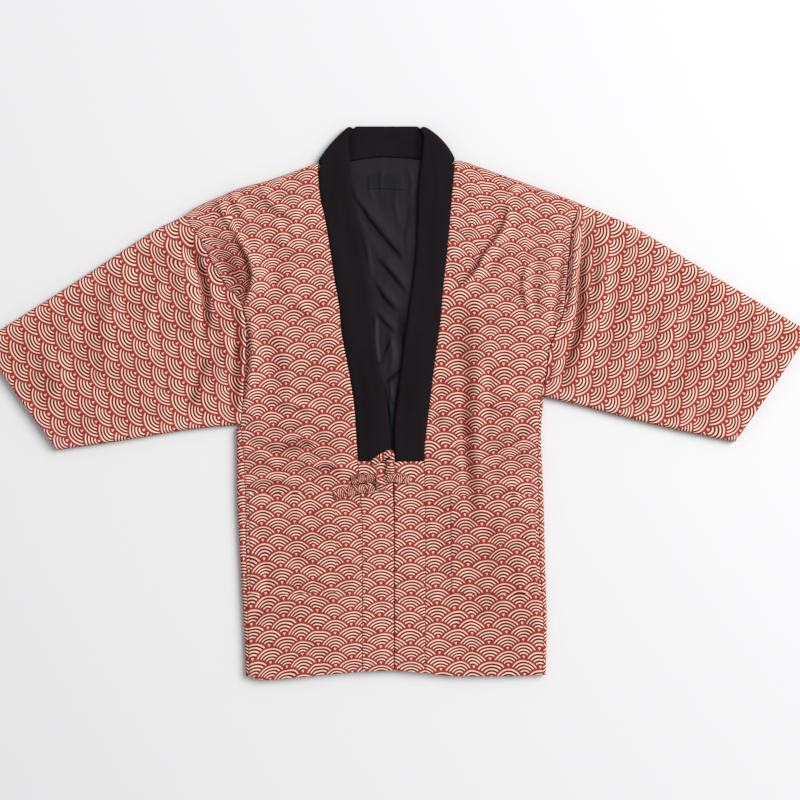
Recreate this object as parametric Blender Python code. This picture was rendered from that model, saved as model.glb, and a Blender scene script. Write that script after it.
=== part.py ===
# Padded jacket laid flat with its front up: +X to the wearer's left, +Y to the collar, +Z up.
# The origin is on the surface it lies on, under the middle of its outline.

from collections import namedtuple

import bmesh
import bpy
import numpy as np

MM = 0.001
FLAT_ANGLE = 0.001  # radians; faces that meet flatter than this are one face

# Driving sizes, in millimetres
WALL = 6.5  # one layer of padded cloth
GAP = 0.3  # between pieces, at seams and between layers
CROWN = 1.6  # how far a padded panel rises in its middle
SEAM_DIP = 3.2  # how far padded cloth sinks at a seam
CUFF_DIP = 2.0
BACK_DIP = 2.5
RIM = 9.0  # how far in from a seam that sinking reaches
GUSSET_DIP = 0.8  # how far the side strip's round edge lies below the fronts
COLLAR_THICK = 8.0
FOLD_BULGE = (3.5, 6.8)  # how far the collar's right and left folds stand out beyond a straight line
BULGE_REACH = 35.0
COLLAR_REACH = 442.4  # how far up the collar lies from the middle of the outline
LINING_THICK = 1.2
POCKET_THICK = 2.0
LABEL_THICK = 0.8
SLIT = 0.4  # between the two walls of a flat sleeve
CUFF_SLIT = 2.4
CROWN_REACH = 60.0  # how far in from a seam a panel goes on rising
COLLAR_SEAM_Y = -92.0  # where the black collar ends and the wave-cloth band begins
LINING_REACH = 16.0  # how far the lining goes on under the collar's legs
POCKET_ROUNDING = 12.0
RIM_STEPS = [2.0, 5.5]  # extra points near a panel's edges, for its rounding

# Heights of the layers, from the surface that the garment lies on
LINING_BASE = WALL + GAP
FRONT_BASE = WALL + GAP
FRONT_TOP = FRONT_BASE + WALL + GAP
LEG_BASE = LINING_BASE + LINING_THICK + GAP
BAND_TOP = FRONT_TOP + 1.6

# How many steps there are along each seam, from the hem up
BAND_STEPS = 13
COLLAR_STEPS = 17
RIGHT_SIDE_STEPS = 15
LEFT_SIDE_STEPS = 17
ROWS = BAND_STEPS + COLLAR_STEPS
NECK_STEPS = 10
SHOULDER_STEPS = 8
CUFF_STEPS = 13
POCKET_ROWS = (5, 11)
POCKET_COLUMN = 3
FRONT_COLUMNS = 14
POCKET_INNER_SHARE = 0.225
LINING_ROWS = 20
LINING_COLUMNS = 16
TIE_STEPS = 8

# Seams and outlines, in millimetres, each from the hem up or from the neck outwards
RIGHT_SIDE_SEAM = [(-233, -436), (-235, -380), (-238, -250), (-239, -154), (-242, -90), (-247, -34)]
RIGHT_SIDE_EDGE = [(-239, -437), (-241, -380), (-248, -250), (-253, -154), (-253.5, -90), (-254, -40)]
LEFT_SIDE_SEAM = [(236, -434), (238, -346), (232, -260), (230, -154), (229, -60), (233, 12)]
LEFT_SIDE_EDGE = [(241.5, -434.5), (243, -346), (240, -236), (238, -154), (234, -50), (238, 8)]
RIGHT_ARMHOLE = [
    (-247, -34), (-241, 30), (-238, 90), (-240, 140), (-252, 170),
    (-271, 191), (-291, 222), (-308, 256), (-325, 281), (-338, 300),
]
LEFT_ARMHOLE = [
    (233, 12), (242, 50), (246, 85), (258, 118), (270, 150),
    (274, 190), (278, 235), (283, 280), (296, 320),
]
RIGHT_BAND_SEAM = [(-51.7, -428.5), (-51.7, -300), (-52, -200), (-59.3, -92)]
LEFT_BAND_SEAM = [(48, -431), (48.6, -300), (48.4, -200), (46.6, -92)]
RIGHT_COLLAR_SEAM = [
    (-59.3, -92), (-62, -42), (-64.5, -8), (-68.5, 22), (-76, 64), (-85, 112), (-89.5, 158),
    (-96.5, 198), (-103.5, 246), (-111.5, 295), (-118.4, 326), (-122, 356), (-123, 385),
]
LEFT_COLLAR_SEAM = [
    (46.6, -92), (47.5, -62), (52.5, -20), (56, 8), (61.5, 55), (68, 101), (73, 140), (76, 180),
    (81.6, 230), (86, 278), (89.6, 322), (92.5, 355), (95.5, 388),
]
RIGHT_OPENING = [(-1.8, -427), (-1.8, -300), (-1.8, -200), (-4.4, -92)]
LEFT_OPENING = [(-0.6, -427), (-0.6, -300), (-0.6, -200), (-1.4, -92)]
RIGHT_FREE_EDGE = [
    (-4.4, -92), (-8, -42), (-12, -6), (-16.5, 22), (-28, 70), (-34, 120), (-38.5, 165), (-45.5, 206),
    (-55.5, 268), (-65, 305), (-70, 342), (-72, 388), (-75, 442.4),
]
LEFT_FREE_EDGE = [
    (-1.4, -92), (-1.4, -42), (1, -12), (5, 15), (10, 62), (17.5, 117), (24, 165), (30.5, 212),
    (34.5, 262), (36, 305), (37, 345), (42, 388), (47.5, 442.4),
]
NECKLINE = [(-95, 385.5), (-72, 388.2), (-40, 393.3), (-20, 394.8), (8, 393.6), (40, 391), (64, 388.8)]
LINING_TOP = [(-90, 385.2), (-72, 387.5), (-40, 392.6), (-20, 394.1), (8, 392.9), (40, 390.3), (58, 388.6)]
COLLAR_TOP = [(-75, 442.4), (-56, 442.3), (33, 442.3), (47.5, 442.4)]
RIGHT_SHOULDER = [(-123, 385), (-199, 358), (-246, 345), (-275, 333), (-314, 316), (-338, 300)]
LEFT_SHOULDER = [(95.5, 388), (110, 387), (167, 367), (249, 338), (296, 320)]
RIGHT_SLEEVE_TOP = [(-338, 300), (-392, 273), (-510, 196), (-632, 118), (-662.4, 98.4)]
LEFT_SLEEVE_TOP = [(296, 320), (345, 300), (393, 277), (520, 199), (648, 124), (662.4, 114.4)]
RIGHT_SLEEVE_UNDER = [(-247, -34), (-330, -42), (-440, -60), (-540.8, -74.4)]
LEFT_SLEEVE_UNDER = [(233, 12), (300, -4), (360, -20), (450, -42), (544, -61.6)]
RIGHT_CUFF = [(-662.4, 98.4), (-604, 12), (-540.8, -74.4)]
LEFT_CUFF = [(662.4, 114.4), (606, 27), (544, -61.6)]
RIGHT_HEM = [(-51.7, -428.5), (-120, -435), (-205, -442.4), (-233, -436)]
LEFT_HEM = [(48, -431), (94, -436), (180, -436), (236, -434)]
BACK_HEM_MIDDLE = (-20, -427)
LABEL_COLUMNS = (5, 12)
LABEL_ROWS = (18, 19)

# A raised fold: three points of its crest, its height, and its run-out to the left and right of its travel
Fold = namedtuple("Fold", "start middle end high left right")
RIGHT_FRONT_FOLDS = [
    Fold((-282, 318), (-258, 255), (-232, 150), 8.0, 52, 12),
    Fold((-230, 160), (-222, 90), (-232, 0), 5.0, 42, 12),
    Fold((-185, -108), (-140, -92), (-88, -62), 2.4, 16, 24),
    Fold((-245, -128), (-190, -122), (-120, -126), 2.2, 18, 12),
]
LEFT_FRONT_FOLDS = [
    Fold((176, 285), (142, 232), (112, 178), 3.2, 30, 14),
    Fold((222, 205), (214, 160), (190, 122), 2.6, 26, 16),
    Fold((262, 250), (256, 190), (246, 130), 4.0, 10, 34),
    Fold((120, 75), (122, 0), (88, -62), 2.8, 34, 16),
    Fold((232, -20), (170, -60), (100, -84), 2.6, 22, 16),
]
RIGHT_SLEEVE_FOLDS = [
    Fold((-352, 262), (-322, 200), (-300, 110), 3.2, 16, 40),
    Fold((-262, 120), (-268, 60), (-272, 0), 2.6, 16, 30),
]
LEFT_SLEEVE_FOLDS = [
    Fold((306, 300), (303, 215), (288, 118), 7.0, 13, 12),
    Fold((272, 90), (262, 60), (256, 24), 3.0, 14, 10),
]
LINING_FOLDS = [
    Fold((-64, 336), (-30, 286), (9, 238), 3.4, 24, 10),
    Fold((-25, 232), (-6, 211), (16, 183), 3.0, 20, 9),
    Fold((-28, 190), (-14, 171), (2, 152), 3.0, 18, 9),
    Fold((-28, 147), (-16, 132), (-2, 118), 2.4, 14, 8),
]
FOLD_STEPS = 24
HALF_TURN = [90, 60, 30, 0, -30, -60, -90]  # degrees, from the top of a fold to its underside


# Curves and grids

def spline(points, steps):
    """Points at even distances on a smooth curve through the given ones."""
    p = np.array(points, dtype=float)
    if len(p) == 2:
        return p[0] + np.linspace(0, 1, steps + 1)[:, None] * (p[1] - p[0])
    ends = np.vstack([2 * p[0] - p[1], p, 2 * p[-1] - p[-2]])
    t = np.linspace(0, 1, 24, endpoint=False)[:, None]
    fine = []
    for a, b, c, d in zip(ends[:-3], ends[1:-2], ends[2:-1], ends[3:]):
        curve = 2 * b + (c - a) * t + (2 * a - 5 * b + 4 * c - d) * t**2 + (3 * b - a - 3 * c + d) * t**3
        fine.append(0.5 * curve)
    fine = np.vstack(fine + [p[-1:]])
    return at_lengths(fine, np.linspace(0, 1, steps + 1) * lengths(fine)[-1])


def lengths(line):
    return np.concatenate([[0], np.cumsum(np.linalg.norm(np.diff(line, axis=0), axis=1))])


def at_lengths(line, distances):
    along = lengths(line)
    return np.stack([np.interp(distances, along, line[:, k]) for k in range(line.shape[1])], axis=1)


def shifted(line, distance):
    """The line moved sideways, to the left of its travel."""
    step = np.gradient(line, axis=0)
    step /= np.linalg.norm(step, axis=1)[:, None]
    return line + distance * np.stack([-step[:, 1], step[:, 0]], axis=1)


def with_rims(line, rims):
    """The line with more points on it, at the given distances from both ends."""
    along = lengths(line)
    total = along[-1]
    wanted = np.concatenate([along, rims, [total - r for r in rims]])
    return at_lengths(line, np.unique(np.round(wanted, 4)))


def coons(left, right, lower, upper):
    """A grid of points between four edges. Rows run up the left edge, columns along the lower edge."""
    u = (lengths(lower) / lengths(lower)[-1] + lengths(upper) / lengths(upper)[-1])[None, :, None] / 2
    v = (lengths(left) / lengths(left)[-1] + lengths(right) / lengths(right)[-1])[:, None, None] / 2
    across = (1 - u) * left[:, None] + u * right[:, None]
    upright = (1 - v) * lower[None] + v * upper[None]
    lower_corners = (1 - u) * lower[0] + u * lower[-1]
    upper_corners = (1 - u) * upper[0] + u * upper[-1]
    return across + upright - (1 - v) * lower_corners - v * upper_corners


def edge_distance(grid):
    """How far each point of a grid is from the grid's nearest edge."""
    along_row = np.linalg.norm(np.diff(grid, axis=1), axis=2)
    along_column = np.linalg.norm(np.diff(grid, axis=0), axis=2)
    zero_column = np.zeros((grid.shape[0], 1))
    zero_row = np.zeros((1, grid.shape[1]))
    from_left = np.hstack([zero_column, np.cumsum(along_row, axis=1)])
    from_low = np.vstack([zero_row, np.cumsum(along_column, axis=0)])
    to_right = from_left[:, -1:] - from_left
    to_top = from_low[-1:] - from_low
    return np.minimum(np.minimum(from_left, to_right), np.minimum(from_low, to_top))


def rounding(distance, reach):
    """0 at an edge, rising like a quarter circle to 1 at the reach from it."""
    share = np.clip(distance / reach, 0, 1)
    return np.sqrt(1 - (1 - share) ** 2)


def fold_rise(grid, folds):
    """How far the folds lift the cloth at each point of a grid."""
    points = grid.reshape(-1, 2)
    rise = np.zeros(len(points))
    for fold in folds:
        crest = spline([fold.start, fold.middle, fold.end], FOLD_STEPS)
        travel = np.gradient(crest, axis=0)
        travel /= np.linalg.norm(travel, axis=1)[:, None]
        away = points[:, None] - crest[None]
        nearest = np.argmin(np.linalg.norm(away, axis=2), axis=1)
        offset = away[np.arange(len(points)), nearest]
        side = travel[nearest, 0] * offset[:, 1] - travel[nearest, 1] * offset[:, 0]
        reach = np.where(side > 0, fold.left, fold.right)
        share = np.clip(np.linalg.norm(offset, axis=1) / reach, 0, 1)
        taper = np.sin(np.pi * (nearest + 1.5) / (FOLD_STEPS + 3)) ** 0.6
        rise = np.maximum(rise, fold.high * taper * (0.5 + 0.5 * np.cos(np.pi * share)))
    return rise.reshape(grid.shape[:2])


def padded_top(grid, top, folds, crown):
    """The height of a padded panel's upper face: sunk at its edges, raised in its middle and on its folds."""
    distance = edge_distance(grid)
    puff = rounding(distance, RIM) * SEAM_DIP + rounding(distance, CROWN_REACH) * crown
    return top - SEAM_DIP + puff + fold_rise(grid, folds)


# Meshes

def material(name, color, roughness):
    made = bpy.data.materials.new(name)
    made.use_nodes = True
    shader = made.node_tree.nodes["Principled BSDF"]
    shader.inputs["Base Color"].default_value = (*color, 1)
    shader.inputs["Roughness"].default_value = roughness
    shader.inputs["Metallic"].default_value = 0
    return made


def add_object(name, vertices, faces, finish):
    """One closed mesh, in millimetres, as an object of the garment's collection."""
    mesh = bpy.data.meshes.new(name)
    mesh.from_pydata([tuple(v) for v in np.asarray(vertices) * MM], [], faces)
    bm = bmesh.new()
    bm.from_mesh(mesh)
    bmesh.ops.recalc_face_normals(bm, faces=bm.faces)
    bmesh.ops.dissolve_limit(bm, angle_limit=FLAT_ANGLE, verts=bm.verts, edges=bm.edges)
    bmesh.ops.triangulate(bm, faces=bm.faces)
    bm.to_mesh(mesh)
    bm.free()
    mesh.materials.append(finish)
    mesh.shade_smooth()
    made = bpy.data.objects.new(name, mesh)
    garment.objects.link(made)
    return made


def add_panel(name, grid, low, high, finish):
    """A wall between two height maps over one grid of points."""
    rows, columns = grid.shape[:2]
    under = np.dstack([grid, np.broadcast_to(low, (rows, columns))]).reshape(-1, 3)
    over = np.dstack([grid, np.broadcast_to(high, (rows, columns))]).reshape(-1, 3)
    size = rows * columns
    faces = []
    for r in range(rows - 1):
        for c in range(columns - 1):
            quad = (r * columns + c, r * columns + c + 1, (r + 1) * columns + c + 1, (r + 1) * columns + c)
            faces.append(quad[::-1])
            faces.append(tuple(i + size for i in quad))
    around = [c for c in range(columns)]
    around += [r * columns + columns - 1 for r in range(1, rows)]
    around += [(rows - 1) * columns + c for c in range(columns - 2, -1, -1)]
    around += [r * columns for r in range(rows - 2, 0, -1)]
    for a, b in zip(around, around[1:] + around[:1]):
        faces.append((a, b, b + size, a + size))
    return add_object(name, np.vstack([under, over]), faces, finish)


def add_loft(name, sections, finish):
    """A solid through closed sections with equal numbers of points."""
    count = len(sections[0])
    faces = []
    for s in range(len(sections) - 1):
        for k in range(count):
            n = (k + 1) % count
            faces.append((s * count + k, s * count + n, (s + 1) * count + n, (s + 1) * count + k))
    faces.append(tuple(range(count))[::-1])
    faces.append(tuple((len(sections) - 1) * count + k for k in range(count)))
    return add_object(name, np.vstack(sections), faces, finish)


# Shared seams: neighbours use the same points, moved apart by the gap

def build_seams():
    seams = {}
    right_side = spline(RIGHT_SIDE_SEAM, RIGHT_SIDE_STEPS)
    left_side = spline(LEFT_SIDE_SEAM, LEFT_SIDE_STEPS)
    right_arm = spline(RIGHT_ARMHOLE, ROWS - RIGHT_SIDE_STEPS)
    left_arm = spline(LEFT_ARMHOLE, ROWS - LEFT_SIDE_STEPS)
    seams["right_outer"] = np.vstack([right_side, right_arm[1:]])
    seams["left_outer"] = np.vstack([left_side, left_arm[1:]])
    right_band = spline(RIGHT_BAND_SEAM, BAND_STEPS)
    left_band = spline(LEFT_BAND_SEAM, BAND_STEPS)
    right_collar = spline(RIGHT_COLLAR_SEAM, COLLAR_STEPS)
    left_collar = spline(LEFT_COLLAR_SEAM, COLLAR_STEPS)
    seams["right_inner"] = np.vstack([right_band, right_collar[1:]])
    seams["left_inner"] = np.vstack([left_band, left_collar[1:]])
    return seams


def front_grid(inner, outer, hem, shoulder, outward):
    """A front panel's points: rows from the hem up, columns from the collar outwards."""
    inner = with_ends(shifted(inner, GAP / 2 * outward))
    outer = with_ends(shifted(outer, -GAP / 2 * outward))
    shares = np.concatenate([
        np.linspace(0, POCKET_INNER_SHARE, POCKET_COLUMN + 1),
        np.linspace(POCKET_INNER_SHARE, 1, FRONT_COLUMNS - POCKET_COLUMN + 1)[1:],
    ])
    lower = between(hem, inner[0], outer[0], shares)
    upper = between(shoulder, inner[-1], outer[-1], shares)
    return coons(inner, outer, with_ends(lower), with_ends(upper))


def with_ends(line):
    return with_rims(line, RIM_STEPS)


def between(points, first, last, shares):
    """A smooth curve with its two ends moved to the given points, read at the given shares of its length."""
    line = spline([tuple(first)] + points[1:-1] + [tuple(last)], 60)
    return at_lengths(line, np.asarray(shares) * lengths(line)[-1])


def build_fronts(seams, wave):
    fronts = {}
    plans = [
        ("right", 1, RIGHT_HEM, RIGHT_SHOULDER, RIGHT_FRONT_FOLDS),
        ("left", -1, LEFT_HEM, LEFT_SHOULDER, LEFT_FRONT_FOLDS),
    ]
    for side, outward, hem, shoulder, folds in plans:
        grid = front_grid(seams[side + "_inner"], seams[side + "_outer"], hem, shoulder, outward)
        rise = fold_rise(grid, folds)
        low = FRONT_BASE + rise
        high = padded_top(grid, FRONT_TOP, folds, CROWN)
        add_panel(side + "_front", grid, low, high, wave)
        fronts[side] = (grid, high)
    return fronts


def build_pockets(fronts, wave):
    """Patch pockets: each is made from its front's own points, moved out."""
    for side, (grid, high) in fronts.items():
        first = len(RIM_STEPS)
        rows = slice(POCKET_ROWS[0] + first, POCKET_ROWS[1] + first + 1)
        columns = slice(POCKET_COLUMN + first, grid.shape[1] - first)
        patch = grid[rows, columns]
        top = high[rows, columns]
        low = top + GAP
        swell = 0.4 + 0.6 * rounding(edge_distance(patch), POCKET_ROUNDING)
        add_panel(side + "_pocket", patch, low, low + POCKET_THICK * swell, wave)


def build_bands(seams, wave):
    """The collar strip below the black cloth, from its seam to the front opening."""
    plans = [
        ("right", 1, RIGHT_OPENING, RIGHT_HEM),
        ("left", -1, LEFT_OPENING, LEFT_HEM),
    ]
    for side, outward, opening, hem in plans:
        seam = shifted(seams[side + "_inner"][:BAND_STEPS + 1], -GAP / 2 * outward)
        edge = spline(opening, BAND_STEPS)
        seam, edge = with_ends(seam), with_ends(edge)
        lower = with_ends(spline([tuple(seam[0]), tuple(edge[0])], 5))
        upper = with_ends(spline([tuple(seam[-1]), tuple(edge[-1])], 5))
        grid = coons(seam, edge, lower, upper)
        grid[..., 1] = np.minimum(grid[..., 1], COLLAR_SEAM_Y - GAP)
        high = padded_top(grid, BAND_TOP, [], CROWN / 2)
        add_panel(side + "_band", grid, FRONT_BASE, high, wave)


# Back, lining and label

def back_outline(seams):
    """The back's top edge: the right shoulder, the neckline and the left shoulder."""
    right = spline(RIGHT_SHOULDER, SHOULDER_STEPS)[::-1]
    left = spline(LEFT_SHOULDER, SHOULDER_STEPS)
    neck = spline([fold_corner("right")] + NECKLINE + [fold_corner("left")], NECK_STEPS)
    return right, neck, left


def fold_corner(side):
    """Where the collar's fold line meets the neck seam, inside the rounded fold."""
    line = np.array([RIGHT_COLLAR_SEAM[-1], RIGHT_FREE_EDGE[-1]] if side == "right"
                    else [LEFT_COLLAR_SEAM[-1], LEFT_FREE_EDGE[-1]], dtype=float)
    along = (line[1] - line[0]) / np.linalg.norm(line[1] - line[0])
    out = np.array([-along[1], along[0]]) * (1 if side == "right" else -1)
    return tuple(line[0] - out * (COLLAR_THICK + GAP / 2))


def build_back(seams, wave):
    right, neck, left = back_outline(seams)
    top = np.vstack([right[:-1] + (0, -GAP), neck + (0, -GAP), left[1:] + (0, -GAP)])
    hem = RIGHT_HEM[:0:-1] + [BACK_HEM_MIDDLE] + LEFT_HEM[1:]
    low = spline(hem, len(top) - 1)
    right_edge = shifted(seams["right_outer"], -GAP / 2)
    left_edge = shifted(seams["left_outer"], GAP / 2)
    low[0], low[-1] = right_edge[0], left_edge[0]
    top[0], top[-1] = right_edge[-1], left_edge[-1]
    grid = coons(with_ends(right_edge), with_ends(left_edge), low, top)
    high = WALL - BACK_DIP + BACK_DIP * rounding(edge_distance(grid), RIM)
    add_panel("back", grid, 0, high, wave)


def build_lining(lining, bare):
    """The lining shows between the collar's legs and reaches a little way under them."""
    right = spline(RIGHT_FREE_EDGE[:-1], LINING_ROWS) + (-LINING_REACH, 0)
    left = spline(LEFT_FREE_EDGE[:-1], LINING_ROWS) + (LINING_REACH, 0)
    right[-1], left[-1] = LINING_TOP[0], LINING_TOP[-1]
    lower = spline([tuple(right[0]), tuple(left[0])], LINING_COLUMNS)
    upper = spline(LINING_TOP, LINING_COLUMNS)
    grid = coons(right, left, lower, upper)
    inside = rounding(edge_distance(grid) - LINING_REACH, 6)
    rise = fold_rise(grid, LINING_FOLDS) * inside
    low = LINING_BASE + rise
    add_panel("back_lining", grid, low, low + LINING_THICK, lining)
    rows = slice(LABEL_ROWS[0], LABEL_ROWS[1] + 1)
    columns = slice(LABEL_COLUMNS[0], LABEL_COLUMNS[1] + 1)
    under = (low + LINING_THICK + GAP)[rows, columns]
    add_panel("label", grid[rows, columns], under, under + LABEL_THICK, bare)


# Sleeves: a flat tube, open at the armhole and the cuff

def sleeve_grid(arm, under, top, cuff, outward):
    arm = shifted(arm, GAP / 2 * outward)
    arm = with_ends(arm[::-1])
    cuff_line = with_ends(spline(cuff, len(arm) - 1 - 2 * len(RIM_STEPS)))
    shares = np.linspace(0, 1, CUFF_STEPS + 1)
    upper = between(top, arm[0], cuff_line[0], shares)
    lower = between(under, arm[-1], cuff_line[-1], shares)
    return coons(upper, lower, arm, cuff_line)


def build_sleeves(seams, wave):
    plans = [
        ("right", 1, RIGHT_SIDE_STEPS, RIGHT_SLEEVE_UNDER, RIGHT_SLEEVE_TOP, RIGHT_CUFF, RIGHT_SLEEVE_FOLDS),
        ("left", -1, LEFT_SIDE_STEPS, LEFT_SLEEVE_UNDER, LEFT_SLEEVE_TOP, LEFT_CUFF, LEFT_SLEEVE_FOLDS),
    ]
    for side, outward, start, under, top, cuff, folds in plans:
        grid = sleeve_grid(seams[side + "_outer"][start:], under, top, cuff, outward)
        add_sleeve(side + "_sleeve", grid, folds, wave)


def add_sleeve(name, grid, folds, finish):
    """Sections of the tube: over the front wall, back under the rear wall, and the same round the slit."""
    last = len(grid) - 1
    middle = FRONT_TOP / 2
    outer, inner = [], []
    for s, line in enumerate(grid):
        along = lengths(line)
        from_edge = np.minimum(along, along[-1] - along)
        round_edge = rounding(from_edge, RIM)
        end_dip = {0: SEAM_DIP, last: CUFF_DIP}.get(s, 0)
        crown = 0 if s in (0, last) else CROWN * rounding(from_edge, CROWN_REACH)
        rise = fold_rise(line[None], folds)[0]
        over = middle + (middle - end_dip + crown) * (0.12 + 0.88 * round_edge) + rise
        below = middle - middle * (0.35 + 0.65 * round_edge)
        outer.append(closed_loop(line, over, below))
        wall_share = WALL / along[-1]
        shares = wall_share + (1 - 2 * wall_share) * along / along[-1]
        inside_line = at_lengths(line, shares * along[-1])
        opening = CUFF_SLIT / 2 if s == last else SLIT / 2
        inside_rise = fold_rise(inside_line[None], folds)[0]
        half = opening * (0.2 + 0.8 * round_edge)
        inner.append(closed_loop(inside_line, middle + inside_rise + half, middle - half))
    add_tube(name, outer, inner, finish)


def closed_loop(line, over, below):
    upper = np.column_stack([line, over])
    under = np.column_stack([line, below])[::-1]
    return np.vstack([upper, under])


def add_tube(name, outer, inner, finish):
    """A wall between two nested sets of sections, open at both ends."""
    count = len(outer[0])
    total = len(outer) * count
    faces = []
    for s in range(len(outer) - 1):
        for k in range(count):
            n = (k + 1) % count
            quad = (s * count + k, s * count + n, (s + 1) * count + n, (s + 1) * count + k)
            faces.append(quad)
            faces.append(tuple(i + total for i in quad[::-1]))
    for s in (0, len(outer) - 1):
        for k in range(count):
            n = (k + 1) % count
            quad = (s * count + k, s * count + n, s * count + n + total, s * count + k + total)
            faces.append(quad if s else quad[::-1])
    add_object(name, np.vstack(outer + inner), faces, finish)


# Side gussets: a strip folded round the side edge

def build_gussets(seams, wave):
    plans = [
        ("right", 1, RIGHT_SIDE_STEPS, RIGHT_SIDE_EDGE),
        ("left", -1, LEFT_SIDE_STEPS, LEFT_SIDE_EDGE),
    ]
    for side, outward, steps, edge in plans:
        seam = shifted(seams[side + "_outer"][:steps + 1], GAP / 2 * outward)
        rim = spline(edge, steps)
        seam[-1] = seam[-1] + (0, -5)
        sections = []
        for s in range(steps + 1):
            width = np.linalg.norm(rim[s] - seam[s])
            out = (rim[s] - seam[s]) / width
            sections.append(gusset_section(seam[s], out, width))
        add_loft(side + "_gusset", sections, wave)


def gusset_section(seam, out, width):
    """A C-shaped section: over the top, round the edge and back below, with a thin slit inside."""
    half = FRONT_TOP / 2
    reach = min(width, half)
    turn = np.radians(HALF_TURN[:-1])
    arc = [(width - reach + reach * np.cos(t), half + (half - GUSSET_DIP) * np.sin(t)) for t in turn]
    slit = [(0, half - SLIT / 2), (width * 0.35, half), (0, half + SLIT / 2)]
    loop = [(0, FRONT_TOP - SEAM_DIP)] + arc + [(width - reach, 0), (0, 0)] + slit
    return np.array([(*(seam + out * d), z) for d, z in loop])


# Collar: one strip, folded over at both sides of the neck

def collar_section(seam_point, free_point, middle, thick_axis, bulge=(0, 0)):
    """A rounded flat section between the strip's two edges, curved sideways by the bulge."""
    shares = np.array([0, 0.03, 0.12, 0.3, 0.5, 0.7, 0.88, 0.97, 1])
    swell = np.array([0.25, 0.62, 0.93, 1, 1, 1, 0.93, 0.62, 0.25])
    seam3 = np.array([*seam_point, 0]) + middle
    free3 = np.array([*free_point, 0]) + middle
    line = seam3 + shares[:, None] * (free3 - seam3)
    line[:, :2] += np.outer(np.sin(np.pi * shares) ** 0.8, bulge)
    lift = swell[:, None] * COLLAR_THICK / 2 * np.asarray(thick_axis)
    return np.vstack([line + lift, (line - lift)[::-1]])


def build_collar(seams, black):
    upper_level = np.array([0, 0, LEG_BASE + COLLAR_THICK / 2])
    lower_level = np.array([0, 0, COLLAR_THICK / 2])
    up = np.array([0, 0, 1])
    sections = []
    legs = {}
    for side, outward, free_edge in (("right", 1, RIGHT_FREE_EDGE), ("left", -1, LEFT_FREE_EDGE)):
        seam = shifted(seams[side + "_inner"][BAND_STEPS:], -GAP / 2 * outward)
        free = spline(free_edge, COLLAR_STEPS)
        corner = np.array(fold_corner(side))
        fold = free[-1] - seam[-1]
        along = fold / np.linalg.norm(fold)
        out = np.array([-along[1], along[0]]) * outward
        top_corner = free[-1] - out * (COLLAR_THICK + GAP / 2)
        legs[side] = (seam[:-1], free[:-1], corner, top_corner, out)
    right_seam, right_free, right_corner, right_top, right_out = legs["right"]
    left_seam, left_free, left_corner, left_top, left_out = legs["left"]
    right_bulge = right_out * FOLD_BULGE[0]
    left_bulge = left_out * FOLD_BULGE[1]
    for a, b in zip(right_seam, right_free):
        sections.append(collar_section(a, b, upper_level, up))
    sections += fold_sections(right_corner, right_top, right_out, 1, right_bulge)
    neck = spline([tuple(right_corner)] + NECKLINE + [tuple(left_corner)], NECK_STEPS)
    top = spline([tuple(right_top)] + COLLAR_TOP[1:-1] + [tuple(left_top)], NECK_STEPS)
    top[:, 1] = np.minimum(top[:, 1], COLLAR_REACH)
    along = lengths(neck)
    right_share = np.clip(1 - along / BULGE_REACH, 0, 1) ** 2
    left_share = np.clip(1 - (along[-1] - along) / BULGE_REACH, 0, 1) ** 2
    bulges = np.outer(right_share, right_bulge) + np.outer(left_share, left_bulge)
    for a, b, bulge in zip(neck[1:-1], top[1:-1], bulges[1:-1]):
        sections.append(collar_section(a, b, lower_level, -up, bulge))
    sections += fold_sections(left_corner, left_top, left_out, -1, left_bulge)
    for a, b in zip(left_seam[::-1], left_free[::-1]):
        sections.append(collar_section(a, b, upper_level, up))
    add_loft("collar", sections, black)


def fold_sections(corner, top, out, direction, bulge):
    """The strip turning over its fold line, from the upper layer to the lower one or back."""
    radius = LEG_BASE / 2
    centre = COLLAR_THICK / 2 + radius
    made = []
    for angle in np.radians(HALF_TURN[::direction]):
        axis = np.array([out[0] * np.cos(angle), out[1] * np.cos(angle), np.sin(angle)])
        made.append(collar_section(corner, top, axis * radius + (0, 0, centre), axis, bulge))
    return made


# Tie: one node for each stretch that shows

Stretch = namedtuple("Stretch", "name path width thick")
TIE = [
    Stretch("tie_loop", [(-37, -97, 17.5), (-26, -87, 19.8), (-12, -79, 20.6), (-5, -77, 18.2)], 10, 2.4),
    Stretch("tie_post", [(-9.2, -93, 18.0), (-9.2, -103, 20.4), (-9.2, -113, 17.6)], 13, 2.6),
    Stretch("tie_knot", [(-23, -114, 18.0), (-23, -126, 22.2), (-23, -139, 18.0)], 16, 3.2),
    Stretch("tie_tail_upper", [(-32, -121, 17.6), (-48, -119.5, 18.9), (-69, -123.5, 17.0)], 13, 2.4),
    Stretch("tie_tail_lower", [(-33, -138, 17.5), (-54, -137, 18.6), (-76, -140.5, 18.2), (-98, -146, 19.6)],
            12, 2.4),
    Stretch("tie_tail_left", [(-14, -121, 17.4), (2, -119, 18.8), (24, -122, 17.5)], 12, 2.4),
]

# The outline of a stretch's cross-section, as shares of half its width and half its thickness
TIE_SECTION = [
    (-1, -0.35), (-0.8, -1), (0, -1), (0.8, -1), (1, -0.35),
    (1, 0.35), (0.8, 1), (0, 1), (-0.8, 1), (-1, 0.35),
]


def build_tie(wave):
    for stretch in TIE:
        line = spline(stretch.path, TIE_STEPS)
        step = np.gradient(line, axis=0)
        sections = []
        for point, ahead in zip(line, step):
            across = np.array([-ahead[1], ahead[0], 0])
            across /= np.linalg.norm(across)
            lift = np.cross(ahead, across)
            lift *= np.sign(lift[2]) / np.linalg.norm(lift)
            half, thin = stretch.width / 2, stretch.thick / 2
            sections.append(np.array([point + across * half * a + lift * thin * b for a, b in TIE_SECTION]))
        add_loft(stretch.name, sections, wave)


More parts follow.
